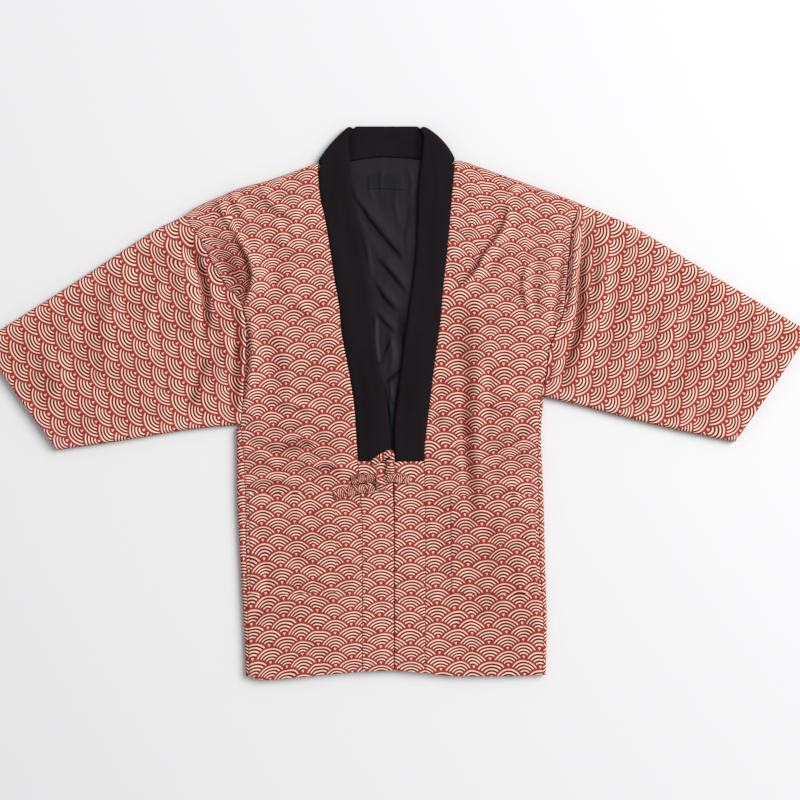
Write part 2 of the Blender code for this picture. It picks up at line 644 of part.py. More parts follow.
for item in list(bpy.data.objects):
    bpy.data.objects.remove(item, do_unlink=True)

garment = bpy.data.collections.new("hanten")
bpy.context.scene.collection.children.link(garment)

wave_cloth = material("wave_cloth", (0.62, 0.26, 0.21), 0.85)
black_cloth = material("black_cloth", (0.02, 0.018, 0.02), 0.9)
lining_cloth = material("lining_cloth", (0.06, 0.055, 0.06), 0.55)
label_cloth = material("label_cloth", (0.04, 0.036, 0.042), 0.6)

shared = build_seams()
build_back(shared, wave_cloth)
front_panels = build_fronts(shared, wave_cloth)
build_pockets(front_panels, wave_cloth)
build_bands(shared, wave_cloth)
build_gussets(shared, wave_cloth)
build_sleeves(shared, wave_cloth)
build_collar(shared, black_cloth)
build_lining(lining_cloth, label_cloth)
build_tie(wave_cloth)
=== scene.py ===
# A padded hanten laid flat with its front up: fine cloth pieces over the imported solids, in their frame.
import math

import bpy
import numpy as np
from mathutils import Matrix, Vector


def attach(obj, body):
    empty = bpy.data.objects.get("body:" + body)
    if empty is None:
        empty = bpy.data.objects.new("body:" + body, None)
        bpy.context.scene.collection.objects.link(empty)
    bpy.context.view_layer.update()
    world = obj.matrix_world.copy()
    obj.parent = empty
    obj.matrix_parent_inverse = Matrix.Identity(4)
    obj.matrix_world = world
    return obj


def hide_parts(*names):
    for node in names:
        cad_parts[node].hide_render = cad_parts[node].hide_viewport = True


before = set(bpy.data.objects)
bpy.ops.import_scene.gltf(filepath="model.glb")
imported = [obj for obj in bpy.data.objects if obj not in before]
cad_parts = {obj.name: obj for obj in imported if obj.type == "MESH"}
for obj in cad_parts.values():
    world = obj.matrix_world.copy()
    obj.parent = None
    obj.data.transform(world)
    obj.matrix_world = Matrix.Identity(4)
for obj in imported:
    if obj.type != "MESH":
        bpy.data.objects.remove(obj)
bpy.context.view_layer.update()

mm = 0.001
fanRadius = 27.0  # mm, of a circle of the print where no other is measured
scene = bpy.context.scene
scene.view_settings.view_transform = "Standard"

photoView = {
    "middle": (8.0, 5.6),  # mm, the point under the middle of the picture
    "width": 1280.0,  # mm that fit into the picture, at the height below
    "height": 12.0,
    "lens": 85.0,
    "sensor": 36.0,
}


def addCamera(view):
    data = bpy.data.cameras.new("overhead")
    data.lens = view["lens"]
    data.sensor_width = view["sensor"]
    camera = bpy.data.objects.new("overhead", data)
    distance = view["width"] * view["lens"] / view["sensor"] + view["height"]
    camera.location = Vector((*view["middle"], distance)) * mm
    scene.collection.objects.link(camera)
    scene.camera = camera


studio = {
    "floorSize": 14.0,  # metres
    "floorColor": (0.695, 0.695, 0.705),
    "skyColor": (1.0, 1.0, 1.0),
    "skyStrength": 0.5,
    "keyPower": 550.0,
    "keyWidth": 4.5,
    "keyPlace": (3.9, 2.2, 5.2),  # metres, from the picture's upper right
}


def addStudio(plan):
    half = plan["floorSize"] / 2
    mesh = bpy.data.meshes.new("floor")
    corners = [(-half, -half, -mm), (half, -half, -mm), (half, half, -mm), (-half, half, -mm)]
    mesh.from_pydata(corners, [], [(0, 1, 2, 3)])
    floor = bpy.data.objects.new("floor", mesh)
    scene.collection.objects.link(floor)
    paint = bpy.data.materials.new("floorPaint")
    paint.use_nodes = True
    shader = paint.node_tree.nodes["Principled BSDF"]
    shader.inputs["Base Color"].default_value = (*plan["floorColor"], 1)
    shader.inputs["Roughness"].default_value = 0.9
    mesh.materials.append(paint)
    world = bpy.data.worlds.new("studioSky")
    world.use_nodes = True
    sky = world.node_tree.nodes["Background"]
    sky.inputs["Color"].default_value = (*plan["skyColor"], 1)
    sky.inputs["Strength"].default_value = plan["skyStrength"]
    scene.world = world
    lamp = bpy.data.lights.new("key", "AREA")
    lamp.energy = plan["keyPower"]
    lamp.size = plan["keyWidth"]
    key = bpy.data.objects.new("key", lamp)
    key.location = plan["keyPlace"]
    key.rotation_mode = "QUATERNION"
    key.rotation_quaternion = Vector(plan["keyPlace"]).to_track_quat("Z", "Y")
    scene.collection.objects.link(key)


addCamera(photoView)
addStudio(studio)
print("camera, floor and light are ready")


class Wire:  # a shader socket that adds, multiplies and compares as a number does
    def __init__(self, tree, socket=None):
        self.tree = tree
        self.socket = socket

    def make(self, kind, inputs, output=0, **settings):
        node = self.tree.nodes.new(kind)
        for name, value in settings.items():
            setattr(node, name, value)
        for place, value in inputs.items():
            if isinstance(value, Wire):
                self.tree.links.new(value.socket, node.inputs[place])
            else:
                node.inputs[place].default_value = value
        return Wire(self.tree, node.outputs[output])

    def math(self, operation, *others):
        return self.make("ShaderNodeMath", dict(enumerate((self,) + others)), operation=operation)

    def __add__(self, other):
        return self.math("ADD", other)

    def __sub__(self, other):
        return self.math("SUBTRACT", other)

    def __rsub__(self, other):
        return self.math("MULTIPLY", -1.0).math("ADD", other)

    def __mul__(self, other):
        return self.math("MULTIPLY", other)

    def __truediv__(self, other):
        return self.math("DIVIDE", other)

    def clamped(self):
        return self.math("MAXIMUM", 0.0).math("MINIMUM", 1.0)

    def blend(self, low, high):  # this socket says how much of the high colour there is
        return self.make("ShaderNodeMix", {0: self, 6: low, 7: high}, 2, data_type="RGBA")


def newMaterial(name):
    material = bpy.data.materials.new(name)
    material.use_nodes = True
    return material, material.node_tree.nodes["Principled BSDF"], Wire(material.node_tree)


def plug(wire, shader, name):
    wire.tree.links.new(wire.socket, shader.inputs[name])


def relief(height, depth, strength=1.0):
    return height.make("ShaderNodeBump", {"Height": height, "Distance": depth, "Strength": strength})


def shadowed(color, start, depth):
    # painted shade: the colour is darkened where the piece's own shade attribute is high, and lightened as a
    # painted highlight where it is below nothing
    shade = start.make("ShaderNodeAttribute", {}, 2, attribute_name="shade")
    parts = {place: 1.0 - shade * part for place, part in enumerate(depth)}
    kept = start.make("ShaderNodeCombineXYZ", parts)
    return color.make("ShaderNodeVectorMath", {0: color, 1: kept}, operation="MULTIPLY")


waveCloth = {
    "cream": (0.93, 0.565, 0.465, 1),
    "shadedCream": (0.86, 0.5, 0.4, 1),
    "red": (0.29, 0.037, 0.031, 1),
    "darkRed": (0.076, 0.0068, 0.0026, 1),
    "ringRadii": (0.343, 0.182),  # the smallest ring's radius and the step, in circle radii
    "ringHalf": 0.041,
    "margin": 0.05,  # of red round each fan
    "dotLow": 0.03,  # the small wedge at the foot of a fan
    "dotSlope": 0.62,
    "dotTop": 0.19,
    # how far the painted shade darkens red, green and blue where the shade attribute is full
    "shade": (0.52, 0.7, 0.74),
    "thinned": 0.013,  # painted shade: how much narrower the cream lines are drawn where the shade attribute is full
    "soft": 0.016,
    "threads": 34.0,  # crossings of the weave in one circle radius
}


def fanPattern(start, plan):
    # every row of circles lies half a radius above the last and a radius along, and lower rows cover it
    place = start.make("ShaderNodeUVMap", {}, uv_map="cloth")
    x = start.make("ShaderNodeSeparateXYZ", {0: place}, 0)
    y = start.make("ShaderNodeSeparateXYZ", {0: place}, 1)
    first = (y * 2.0 - 2.0).math("CEIL")
    rows = []
    for step in (-1, 0, 1, 2):
        row = first + float(step)
        odd = row.math("FLOORED_MODULO", 2.0)
        centre = ((x - odd) / 2.0).math("ROUND") * 2.0 + odd
        dx = x - centre
        dy = y - row / 2.0
        rows.append((dx, dy, (dx * dx + dy * dy).math("SQRT")))
    under, low, middle, high = rows
    inLow = low[2].math("LESS_THAN", 1.0)
    inMiddle = (1.0 - inLow) * middle[2].math("LESS_THAN", 1.0)
    inHigh = 1.0 - inLow - inMiddle
    dx, dy, away = (low[k] * inLow + middle[k] * inMiddle + high[k] * inHigh for k in range(3))
    nearLow = under[2].math("MINIMUM", low[2])
    nearMiddle = nearLow.math("MINIMUM", middle[2])
    gap = under[2] * inLow + nearLow * inMiddle + nearMiddle * inHigh - 1.0
    smallest, step = plan["ringRadii"]
    place = (away - smallest) / step
    nearest = place.math("ROUND").math("MAXIMUM", 0.0).math("MINIMUM", 3.0)
    off = ((place - nearest) * step).math("ABSOLUTE")
    outside = (plan["margin"] + plan["ringHalf"] - gap).math("MAXIMUM", 0.0)
    # painted shade: the cream rings are drawn narrower where the shade attribute is high
    shade = start.make("ShaderNodeAttribute", {}, 2, attribute_name="shade")
    edge = (off * off + outside * outside).math("SQRT") - plan["ringHalf"] + shade * plan["thinned"]
    rings = (0.5 - edge / (2 * plan["soft"])).clamped()
    wedge = dx.math("ABSOLUTE") - (dy - plan["dotLow"]) * plan["dotSlope"]
    dot = wedge.math("SMOOTH_MAX", away - plan["dotTop"], 0.04)
    dots = (0.5 - dot / (2 * plan["soft"])).clamped()
    inFan = ((gap - 0.02) / 0.09).clamped() * ((0.97 - away) / 0.06).clamped()
    inFan = inFan * ((away - 0.2) / 0.08).clamped()
    return rings.math("MAXIMUM", dots), inFan, x, y


def makeWaveCloth(plan):
    material, shader, start = newMaterial("waveCloth")
    cream, inFan, x, y = fanPattern(start, plan)
    where = start.make("ShaderNodeTexCoord", {}, 3)
    cloud = start.make("ShaderNodeTexNoise", {"Vector": where, "Scale": 55.0, "Detail": 4.0})
    worn = ((cloud - 0.5) * 0.9 + 0.5).clamped()
    red = inFan.blend(plan["red"], plan["darkRed"])
    paleCream = worn.blend(plan["shadedCream"], plan["cream"])
    color = cream.blend(red, paleCream)
    plug(shadowed(color, start, plan["shade"]), shader, "Base Color")
    turn = 2 * math.pi * plan["threads"]
    weave = (x * turn).math("SINE") * (y * turn).math("SINE")
    crumple = start.make("ShaderNodeTexNoise", {"Vector": where, "Scale": 190.0, "Detail": 3.0})
    height = weave * 0.35 + crumple * 1.6 + cream * 0.25
    plug(relief(height, 0.00022, 0.55), shader, "Normal")
    plug(cloud * 0.1 + 0.8, shader, "Roughness")
    shader.inputs["Specular IOR Level"].default_value = 0.08
    return material


def makeDarkCloth(name, low, high, nap, depth, rough, sheen, gloss):
    material, shader, start = newMaterial(name)
    where = start.make("ShaderNodeTexCoord", {}, 3)
    cloud = start.make("ShaderNodeTexNoise", {"Vector": where, "Scale": 26.0, "Detail": 6.0})
    color = ((cloud - 0.5) * 1.6 + 0.5).clamped().blend(low, high)
    # painted shade, at nearly full strength in every channel
    plug(shadowed(color, start, (0.97, 0.97, 0.97)), shader, "Base Color")
    fibre = start.make("ShaderNodeTexNoise", {"Vector": where, "Scale": nap, "Detail": 5.0})
    crumple = start.make("ShaderNodeTexNoise", {"Vector": where, "Scale": 90.0, "Detail": 2.0})
    plug(relief(fibre + crumple * 1.5, depth, 0.6), shader, "Normal")
    plug(cloud * 0.16 + rough, shader, "Roughness")
    shader.inputs["Sheen Weight"].default_value = sheen
    shader.inputs["Sheen Roughness"].default_value = 0.45
    shader.inputs["Specular IOR Level"].default_value = gloss
    return material


def makeThread(name, color):
    material, shader, start = newMaterial(name)
    where = start.make("ShaderNodeTexCoord", {}, 3)
    twist = start.make("ShaderNodeTexNoise", {"Vector": where, "Scale": 2200.0, "Detail": 2.0})
    plug(twist.blend([c * 0.6 for c in color[:3]] + [1], color), shader, "Base Color")
    plug(relief(twist, 0.0001), shader, "Normal")
    shader.inputs["Roughness"].default_value = 0.7
    return material


wavePrint = makeWaveCloth(waveCloth)
collarBlack = makeDarkCloth(
    "collarCotton", low=(0.006, 0.0042, 0.0054, 1), high=(0.0098, 0.0068, 0.0088, 1),
    nap=1500.0, depth=0.00025, rough=0.8, sheen=0.01, gloss=0.1)
liningDark = makeDarkCloth(
    "liningSatin", low=(0.0098, 0.0082, 0.0108, 1), high=(0.0136, 0.0117, 0.015, 1),
    nap=2600.0, depth=0.00008, rough=0.5, sheen=0.0, gloss=0.1)
labelBare = makeDarkCloth(
    "labelWeave", low=(0.0068, 0.006, 0.0076, 1), high=(0.0085, 0.0074, 0.0094, 1),
    nap=3000.0, depth=0.00006, rough=0.5, sheen=0.005, gloss=0.12)
redThread = makeThread("redThread", (0.4, 0.07, 0.055, 1))
blackThread = makeThread("blackThread", (0.03, 0.027, 0.03, 1))
print("cloths and threads are ready")


def smoothLine(points, steps):
    p = np.array(points, dtype=float)
    if len(p) == 2:
        return p[0] + np.linspace(0, 1, steps + 1)[:, None] * (p[1] - p[0])
    ends = np.vstack([2 * p[0] - p[1], p, 2 * p[-1] - p[-2]])
    t = np.linspace(0, 1, 24, endpoint=False)[:, None]
    fine = []
    for a, b, c, d in zip(ends[:-3], ends[1:-2], ends[2:-1], ends[3:]):
        curve = 2 * b + (c - a) * t + (2 * a - 5 * b + 4 * c - d) * t**2
        fine.append(0.5 * (curve + (3 * b - a - 3 * c + d) * t**3))
    fine = np.vstack(fine + [p[-1:]])
    return atLengths(fine, np.linspace(0, 1, steps + 1) * lengths(fine)[-1])


def lengths(line):
    return np.concatenate([[0], np.cumsum(np.linalg.norm(np.diff(line, axis=0), axis=1))])


def atLengths(line, distances):
    along = lengths(line)
    return np.stack([np.interp(distances, along, line[:, k]) for k in range(line.shape[1])], axis=1)


def sideways(line, distance):  # to the left of its travel
    step = np.gradient(line, axis=0)
    step /= np.linalg.norm(step, axis=1)[:, None]
    return line + distance * np.stack([-step[:, 1], step[:, 0]], axis=1)


def sharesOf(line):
    along = lengths(line)
    return along / along[-1]


def coonsGrid(left, right, lower, upper):
    u = (sharesOf(lower) + sharesOf(upper))[None, :, None] / 2
    v = (sharesOf(left) + sharesOf(right))[:, None, None] / 2
    across = (1 - u) * left[:, None] + u * right[:, None]
    upright = (1 - v) * lower[None] + v * upper[None]
    lowerCorners = (1 - u) * lower[0] + u * lower[-1]
    upperCorners = (1 - u) * upper[0] + u * upper[-1]
    return across + upright - (1 - v) * lowerCorners - v * upperCorners


def edgeDistance(grid):
    alongRow = np.linalg.norm(np.diff(grid, axis=1), axis=2)
    alongColumn = np.linalg.norm(np.diff(grid, axis=0), axis=2)
    fromLeft = np.hstack([np.zeros((grid.shape[0], 1)), np.cumsum(alongRow, axis=1)])
    fromLow = np.vstack([np.zeros((1, grid.shape[1])), np.cumsum(alongColumn, axis=0)])
    toRight = fromLeft[:, -1:] - fromLeft
    toTop = fromLow[-1:] - fromLow
    return np.minimum(np.minimum(fromLeft, toRight), np.minimum(fromLow, toTop))


def rounding(distance, reach):
    share = np.clip(distance / reach, 0, 1)
    return np.sqrt(1 - (1 - share) ** 2)


def unevenness(points, size, seed):  # a smooth field from about -1 to 1 whose bumps have the given size
    chance = np.random.default_rng(seed)
    total = np.zeros(points.shape[:-1])
    for _ in range(16):
        angle = chance.uniform(0, 2 * math.pi)
        wave = 2 * math.pi / (size * chance.uniform(1.2, 3.0))
        start = chance.uniform(0, 2 * math.pi)
        ahead = points[..., 0] * math.cos(angle) + points[..., 1] * math.sin(angle)
        total += np.cos(ahead * wave + start)
    return total / 6


def foldRise(points, folds):
    # a fold is the points of its crest, its height, its reach left and right, and its sharpness if not 1
    flat = points.reshape(-1, 2)
    raised = np.zeros(len(flat))
    sunk = np.zeros(len(flat))
    for fold in folds:
        path = [part for part in fold if isinstance(part, tuple)]
        high, left, right, *rest = fold[len(path):]
        sharp = rest[0] if rest else 1.0
        crest = smoothLine(path, 48)
        travel = np.gradient(crest, axis=0)
        travel /= np.linalg.norm(travel, axis=1)[:, None]
        near = np.linalg.norm(flat - crest[24], axis=1) < lengths(crest)[-1] * 0.6 + max(left, right)
        away = flat[near, None] - crest[None]
        nearest = np.argmin((away**2).sum(axis=2), axis=1)
        offset = away[np.arange(len(away)), nearest]
        distance = np.linalg.norm(offset, axis=1)
        cross = travel[nearest, 0] * offset[:, 1] - travel[nearest, 1] * offset[:, 0]
        side = 0.5 + 0.5 * cross / np.maximum(distance, 1e-6)
        share = np.clip(distance / (right + (left - right) * side), 0, 1)
        taper = np.sin(np.pi * (nearest + 1.5) / 51) ** 0.6
        rise = abs(high) * taper * (0.5 + 0.5 * np.cos(np.pi * share)) ** sharp
        if high > 0:
            raised[near] += rise**4
        else:
            sunk[near] += rise**4
    return (raised**0.25 - sunk**0.25).reshape(points.shape[:-1])


def hollows(high):
    # how far each point lies below its surroundings, and below nothing where it stands out
    wide = high.copy()
    for _ in range(16):
        tall = np.pad(wide, ((1, 1), (0, 0)), mode="edge")
        wide = (tall[:-2] + 2 * wide + tall[2:]) / 4
        broad = np.pad(wide, ((0, 0), (1, 1)), mode="edge")
        wide = (broad[:, :-2] + 2 * wide + broad[:, 2:]) / 4
    return np.clip((wide - high) / 1.5, -0.4, 1)


def shadeOf(grid, high, lines):
    # painted shade in the hollows and along the listed lines, and a painted highlight where the relief stands
    # out
    return np.clip(0.62 * hollows(high) + foldRise(grid, lines), -0.4, 0.95)


def byHeight(heights, table):
    levels, values = zip(*table)
    return np.interp(heights, levels, values)


def printPlaces(flat, plan):
    # where each point of the cloth lies in the print, counted in circle radii
    turn = math.radians(plan.get("turn", 0))
    heights = flat[..., 1]
    x = flat[..., 0] - plan["start"][0]
    y = heights - plan["start"][1]
    across = x * math.cos(turn) + y * math.sin(turn)
    up = y * math.cos(turn) - x * math.sin(turn)
    up = up - byHeight(heights, plan.get("lean", [(0, 0)])) * across
    across = across - byHeight(heights, plan.get("drift", [(0, 0)]))  # of the columns of fans, to the right
    across = across / byHeight(heights, plan["across"])
    ladder = np.linspace(-1000, 1000, 2001)
    climbed = np.cumsum(1 / byHeight(ladder + plan["start"][1], plan["along"]))
    climbed -= np.interp(0, ladder, climbed)
    return np.stack([across, np.interp(up, ladder, climbed)], axis=-1)


def clothPlaces(grid, high, seed):
    # the points of a relief, spread out as flat as the cloth was, and a little out of true
    solid = np.dstack([grid, high])
    spread = grid.copy()
    for axis in (0, 1):
        step = np.diff(solid, axis=axis)
        plain = np.linalg.norm(step[..., :2], axis=2)
        extra = np.linalg.norm(step, axis=2) - plain
        move = step[..., :2] / np.maximum(plain, 1e-6)[..., None] * extra[..., None]
        total = np.cumsum(move, axis=axis)
        blank = np.zeros_like(np.take(grid, [0], axis=axis))
        total = np.concatenate([blank, total], axis=axis)
        middle = np.take(total, [total.shape[axis] // 2], axis=axis)
        spread += total - middle
    return spread + np.dstack([unevenness(grid, 40, seed + 5), unevenness(grid, 44, seed + 6)]) * 1.8


def finishPiece(name, points, faces, corners, materials, kinds, shade):
    mesh = bpy.data.meshes.new(name)
    mesh.from_pydata([tuple(p) for p in np.asarray(points) * mm], [], faces)
    for material in materials:
        mesh.materials.append(material)
    mesh.polygons.foreach_set("material_index", np.asarray(kinds, dtype=np.int32))
    layer = mesh.uv_layers.new(name="cloth")
    layer.data.foreach_set("uv", np.asarray(corners, dtype=np.float32).ravel())
    # the painted shade and painted highlight that the materials read
    depth = mesh.attributes.new("shade", "FLOAT", "POINT")
    depth.data.foreach_set("value", np.asarray(shade, dtype=np.float32).ravel())
    mesh.shade_smooth()
    mesh.update()
    piece = bpy.data.objects.new(name, mesh)
    scene.collection.objects.link(piece)
    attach(piece, "root")
    return piece


def panel(name, grid, low, high, places, top, under, shade):
    # a closed wall between two reliefs over one grid, with the print carried down its sides
    step = grid[0, 1] - grid[0, 0]
    rise = grid[1, 0] - grid[0, 0]
    if step[0] * rise[1] - step[1] * rise[0] < 0:
        grid, places = grid[:, ::-1], places[:, ::-1]
        low, high, shade = low[:, ::-1], high[:, ::-1], shade[:, ::-1]
    rows, columns = grid.shape[:2]
    size = rows * columns
    points = np.vstack([np.dstack([grid, high]).reshape(-1, 3), np.dstack([grid, low]).reshape(-1, 3)])
    index = np.arange(size).reshape(rows, columns)
    quads = np.stack([index[:-1, :-1], index[:-1, 1:], index[1:, 1:], index[1:, :-1]], axis=-1).reshape(-1, 4)
    rim = np.concatenate([index[0, :-1], index[:-1, -1], index[-1, :0:-1], index[:0:-1, 0]])
    inner = np.concatenate([index[1, :-1], index[:-1, -2], index[-2, :0:-1], index[:0:-1, 1]])
    after = np.roll(rim, -1)
    sides = np.stack([rim, rim + size, after + size, after], axis=-1)
    flatPlaces = places.reshape(-1, 2)
    outward = flatPlaces[rim] - flatPlaces[inner]
    outward /= np.maximum(np.linalg.norm(outward, axis=1), 1e-9)[:, None]
    depth = (high - low).reshape(-1)[rim] / fanRadius
    lowRim = flatPlaces[rim] + outward * depth[:, None]
    sideCorners = np.stack([flatPlaces[rim], lowRim, np.roll(lowRim, -1, axis=0), flatPlaces[after]], axis=1)
    faces = quads.tolist() + (quads[:, ::-1] + size).tolist() + sides.tolist()
    corners = np.concatenate([flatPlaces[quads], flatPlaces[quads[:, ::-1]], sideCorners]).reshape(-1, 2)
    kinds = [0] * len(quads) + [1] * len(quads) + [0] * len(sides)
    shades = np.concatenate([shade.ravel(), np.zeros(size)])
    return finishPiece(name, points, faces, corners, [top, under], kinds, shades)


def loft(name, sections, places, material, shade):
    # a closed solid through rings of points, with a flat cap at either end
    sections = np.asarray(sections)
    count = sections.shape[1]
    index = np.arange(len(sections) * count).reshape(len(sections), count)
    after = np.roll(index, -1, axis=1)
    quads = np.stack([index[:-1], after[:-1], after[1:], index[1:]], axis=-1).reshape(-1, 4)
    places = np.asarray(places)
    nextPlaces = np.concatenate([places[:, 1:-1], places[:, -1:]], axis=1)
    here = places[:, :-1]
    corners = np.stack([here[:-1], nextPlaces[:-1], nextPlaces[1:], here[1:]], axis=2).reshape(-1, 2)
    caps = [index[0, ::-1].tolist(), index[-1].tolist()]
    capCorners = np.concatenate([here[0, ::-1], here[-1]])
    faces = quads.tolist() + caps
    points = sections.reshape(-1, 3)
    half = len(quads) // 2 // count
    a, b, c = points[quads[half * count + count // 4][:3]]
    if np.dot(np.cross(b - a, c - a), a - sections[half].mean(axis=0)) < 0:
        faces = [face[::-1] for face in faces]
        corners = corners.reshape(-1, 4, 2)[:, ::-1].reshape(-1, 2)
        capCorners = np.concatenate([here[0], here[-1, ::-1]])
    corners = np.concatenate([corners, capCorners])
    return finishPiece(name, points, faces, corners, [material], [0] * len(faces), shade)


garment = {
    "wall": 6.5,  # mm, one padded layer
    "gap": 0.3,
    "frontTop": 13.6,
    "crown": 1.6,
    "crownReach": 60.0,
    "seamDip": 1.3,  # how far the cloth sinks into a seam
    "bandDip": 0.35,
    "squeeze": 1.4,  # how much deeper than its relief a fold draws the print in
    "shoulderRoll": 20.0,
    "seamReach": 5.0,
    "rims": [0.35, 0.9, 1.7, 2.8, 4.2],  # extra points near a panel's edges
    "waist": -92.0,  # where the black collar ends and the printed band begins
    "thinnest": 1.5,  # of a front, where a fold lifts its lower side
    "rows": 30,  # of a front, from hem to shoulder
    "bandRows": 13,  # of them beside the printed band
    "fineness": 9,  # steps in each row
}
sideSeam = {
    "right": [(-233, -436), (-235, -380), (-238, -250), (-239, -154), (-242, -90), (-247, -34)],
    "left": [(236, -434), (238, -346), (232, -260), (230, -154), (229, -60), (233, 12)],
}
armhole = {
    "right": [
        (-247, -34), (-241, 30), (-238, 90), (-240, 140), (-252, 170),
        (-271, 191), (-291, 222), (-308, 256), (-325, 281), (-338, 300),
    ],
    "left": [
        (233, 12), (242, 50), (246, 85), (258, 118), (270, 150),
        (274, 190), (278, 235), (283, 280), (296, 320),
    ],
}
bandSeam = {
    "right": [(-51.7, -428.5), (-51.7, -300), (-52, -200), (-59.3, -92)],
    "left": [(48, -431), (48.6, -300), (48.4, -200), (46.6, -92)],
}
collarSeam = {
    "right": [
        (-59.3, -92), (-62, -42), (-64.5, -8), (-68.5, 22), (-76, 64), (-85, 112), (-89.5, 158),
        (-96.5, 198), (-103.5, 246), (-111.5, 295), (-118.4, 326), (-122, 356), (-123, 385),
    ],
    "left": [
        (46.6, -92), (47.5, -62), (52.5, -20), (56, 8), (61.5, 55), (68, 101), (73, 140), (76, 180),
        (81.6, 230), (86, 278), (89.6, 322), (92.5, 355), (95.5, 388),
    ],
}
hem = {
    "right": [(-51.7, -428.5), (-120, -435), (-205, -442.4), (-233, -436)],
    "left": [(48, -431), (94, -436), (180, -436), (236, -434)],
}
shoulder = {
    "right": [(-123, 385), (-199, 358), (-246, 345), (-275, 333), (-314, 316), (-338, 300)],
    "left": [(95.5, 388), (110, 387), (167, 367), (249, 338), (296, 320)],
}
outwardOf = {"right": 1, "left": -1}


def onRims(line, count):  # evenly spaced points, with rims near both ends, always equal in number
    total = lengths(line)[-1]
    rims = np.array(garment["rims"])
    first = 7.0
    body = np.linspace(first, total - first, count)
    wanted = np.concatenate([[0], rims, body, total - rims[::-1], [total]])
    return atLengths(line, wanted)


def between(points, first, last):
    return smoothLine([tuple(first)] + points[1:-1] + [tuple(last)], 160)


def jointLine(lowPoints, highPoints, lowSteps, highSteps):
    # two seams that follow each other, each with as many steps as its share of the rows
    fine = garment["fineness"]
    low = smoothLine(lowPoints, lowSteps * fine)
    high = smoothLine(highPoints, highSteps * fine)
    return np.vstack([low, high[1:]])


seams = {}
for side, sideSteps in (("right", 15), ("left", 17)):
    outer = jointLine(sideSeam[side], armhole[side], sideSteps, garment["rows"] - sideSteps)
    inner = jointLine(
        bandSeam[side], collarSeam[side], garment["bandRows"], garment["rows"] - garment["bandRows"])
    seams[side] = {"outer": outer, "inner": inner, "sideSteps": sideSteps}


def alignedRims(line):
    # the same parameter values on both seams of a panel, so that its rows stay level
    count = len(line) - 1
    total = lengths(line)[-1]
    extra = np.array(garment["rims"]) / total * count
    places = np.concatenate([np.arange(count + 1), extra, count - extra])
    places = np.unique(np.round(places, 4))
    return np.stack([np.interp(places, np.arange(count + 1), line[:, k]) for k in range(2)], axis=1), places


def frontGrid(side):
    outward = outwardOf[side]
    inner = sideways(seams[side]["inner"], garment["gap"] / 2 * outward)
    outer = sideways(seams[side]["outer"], -garment["gap"] / 2 * outward)
    inner, places = alignedRims(inner)
    steps = np.arange(len(outer))
    outer = np.stack([np.interp(places, steps, outer[:, k]) for k in range(2)], axis=1)
    lower = onRims(between(hem[side], inner[0], outer[0]), 66)
    upper = onRims(between(shoulder[side], inner[-1], outer[-1]), 66)
    return coonsGrid(inner, outer, lower, upper), places


def clothTop(grid, top, folds, crown, seed, dip):
    distance = edgeDistance(grid)
    puff = rounding(distance, garment["seamReach"]) * dip + rounding(distance, garment["crownReach"]) * crown
    calm = rounding(distance, 22)
    soft = 0.8 * unevenness(grid, 38, seed) + 0.42 * unevenness(grid, 15, seed + 1)
    gather = 0.22 * unevenness(grid, 5, seed + 2) * np.exp(-distance / 14)
    return top - dip + puff + foldRise(grid, folds) + soft * calm + gather


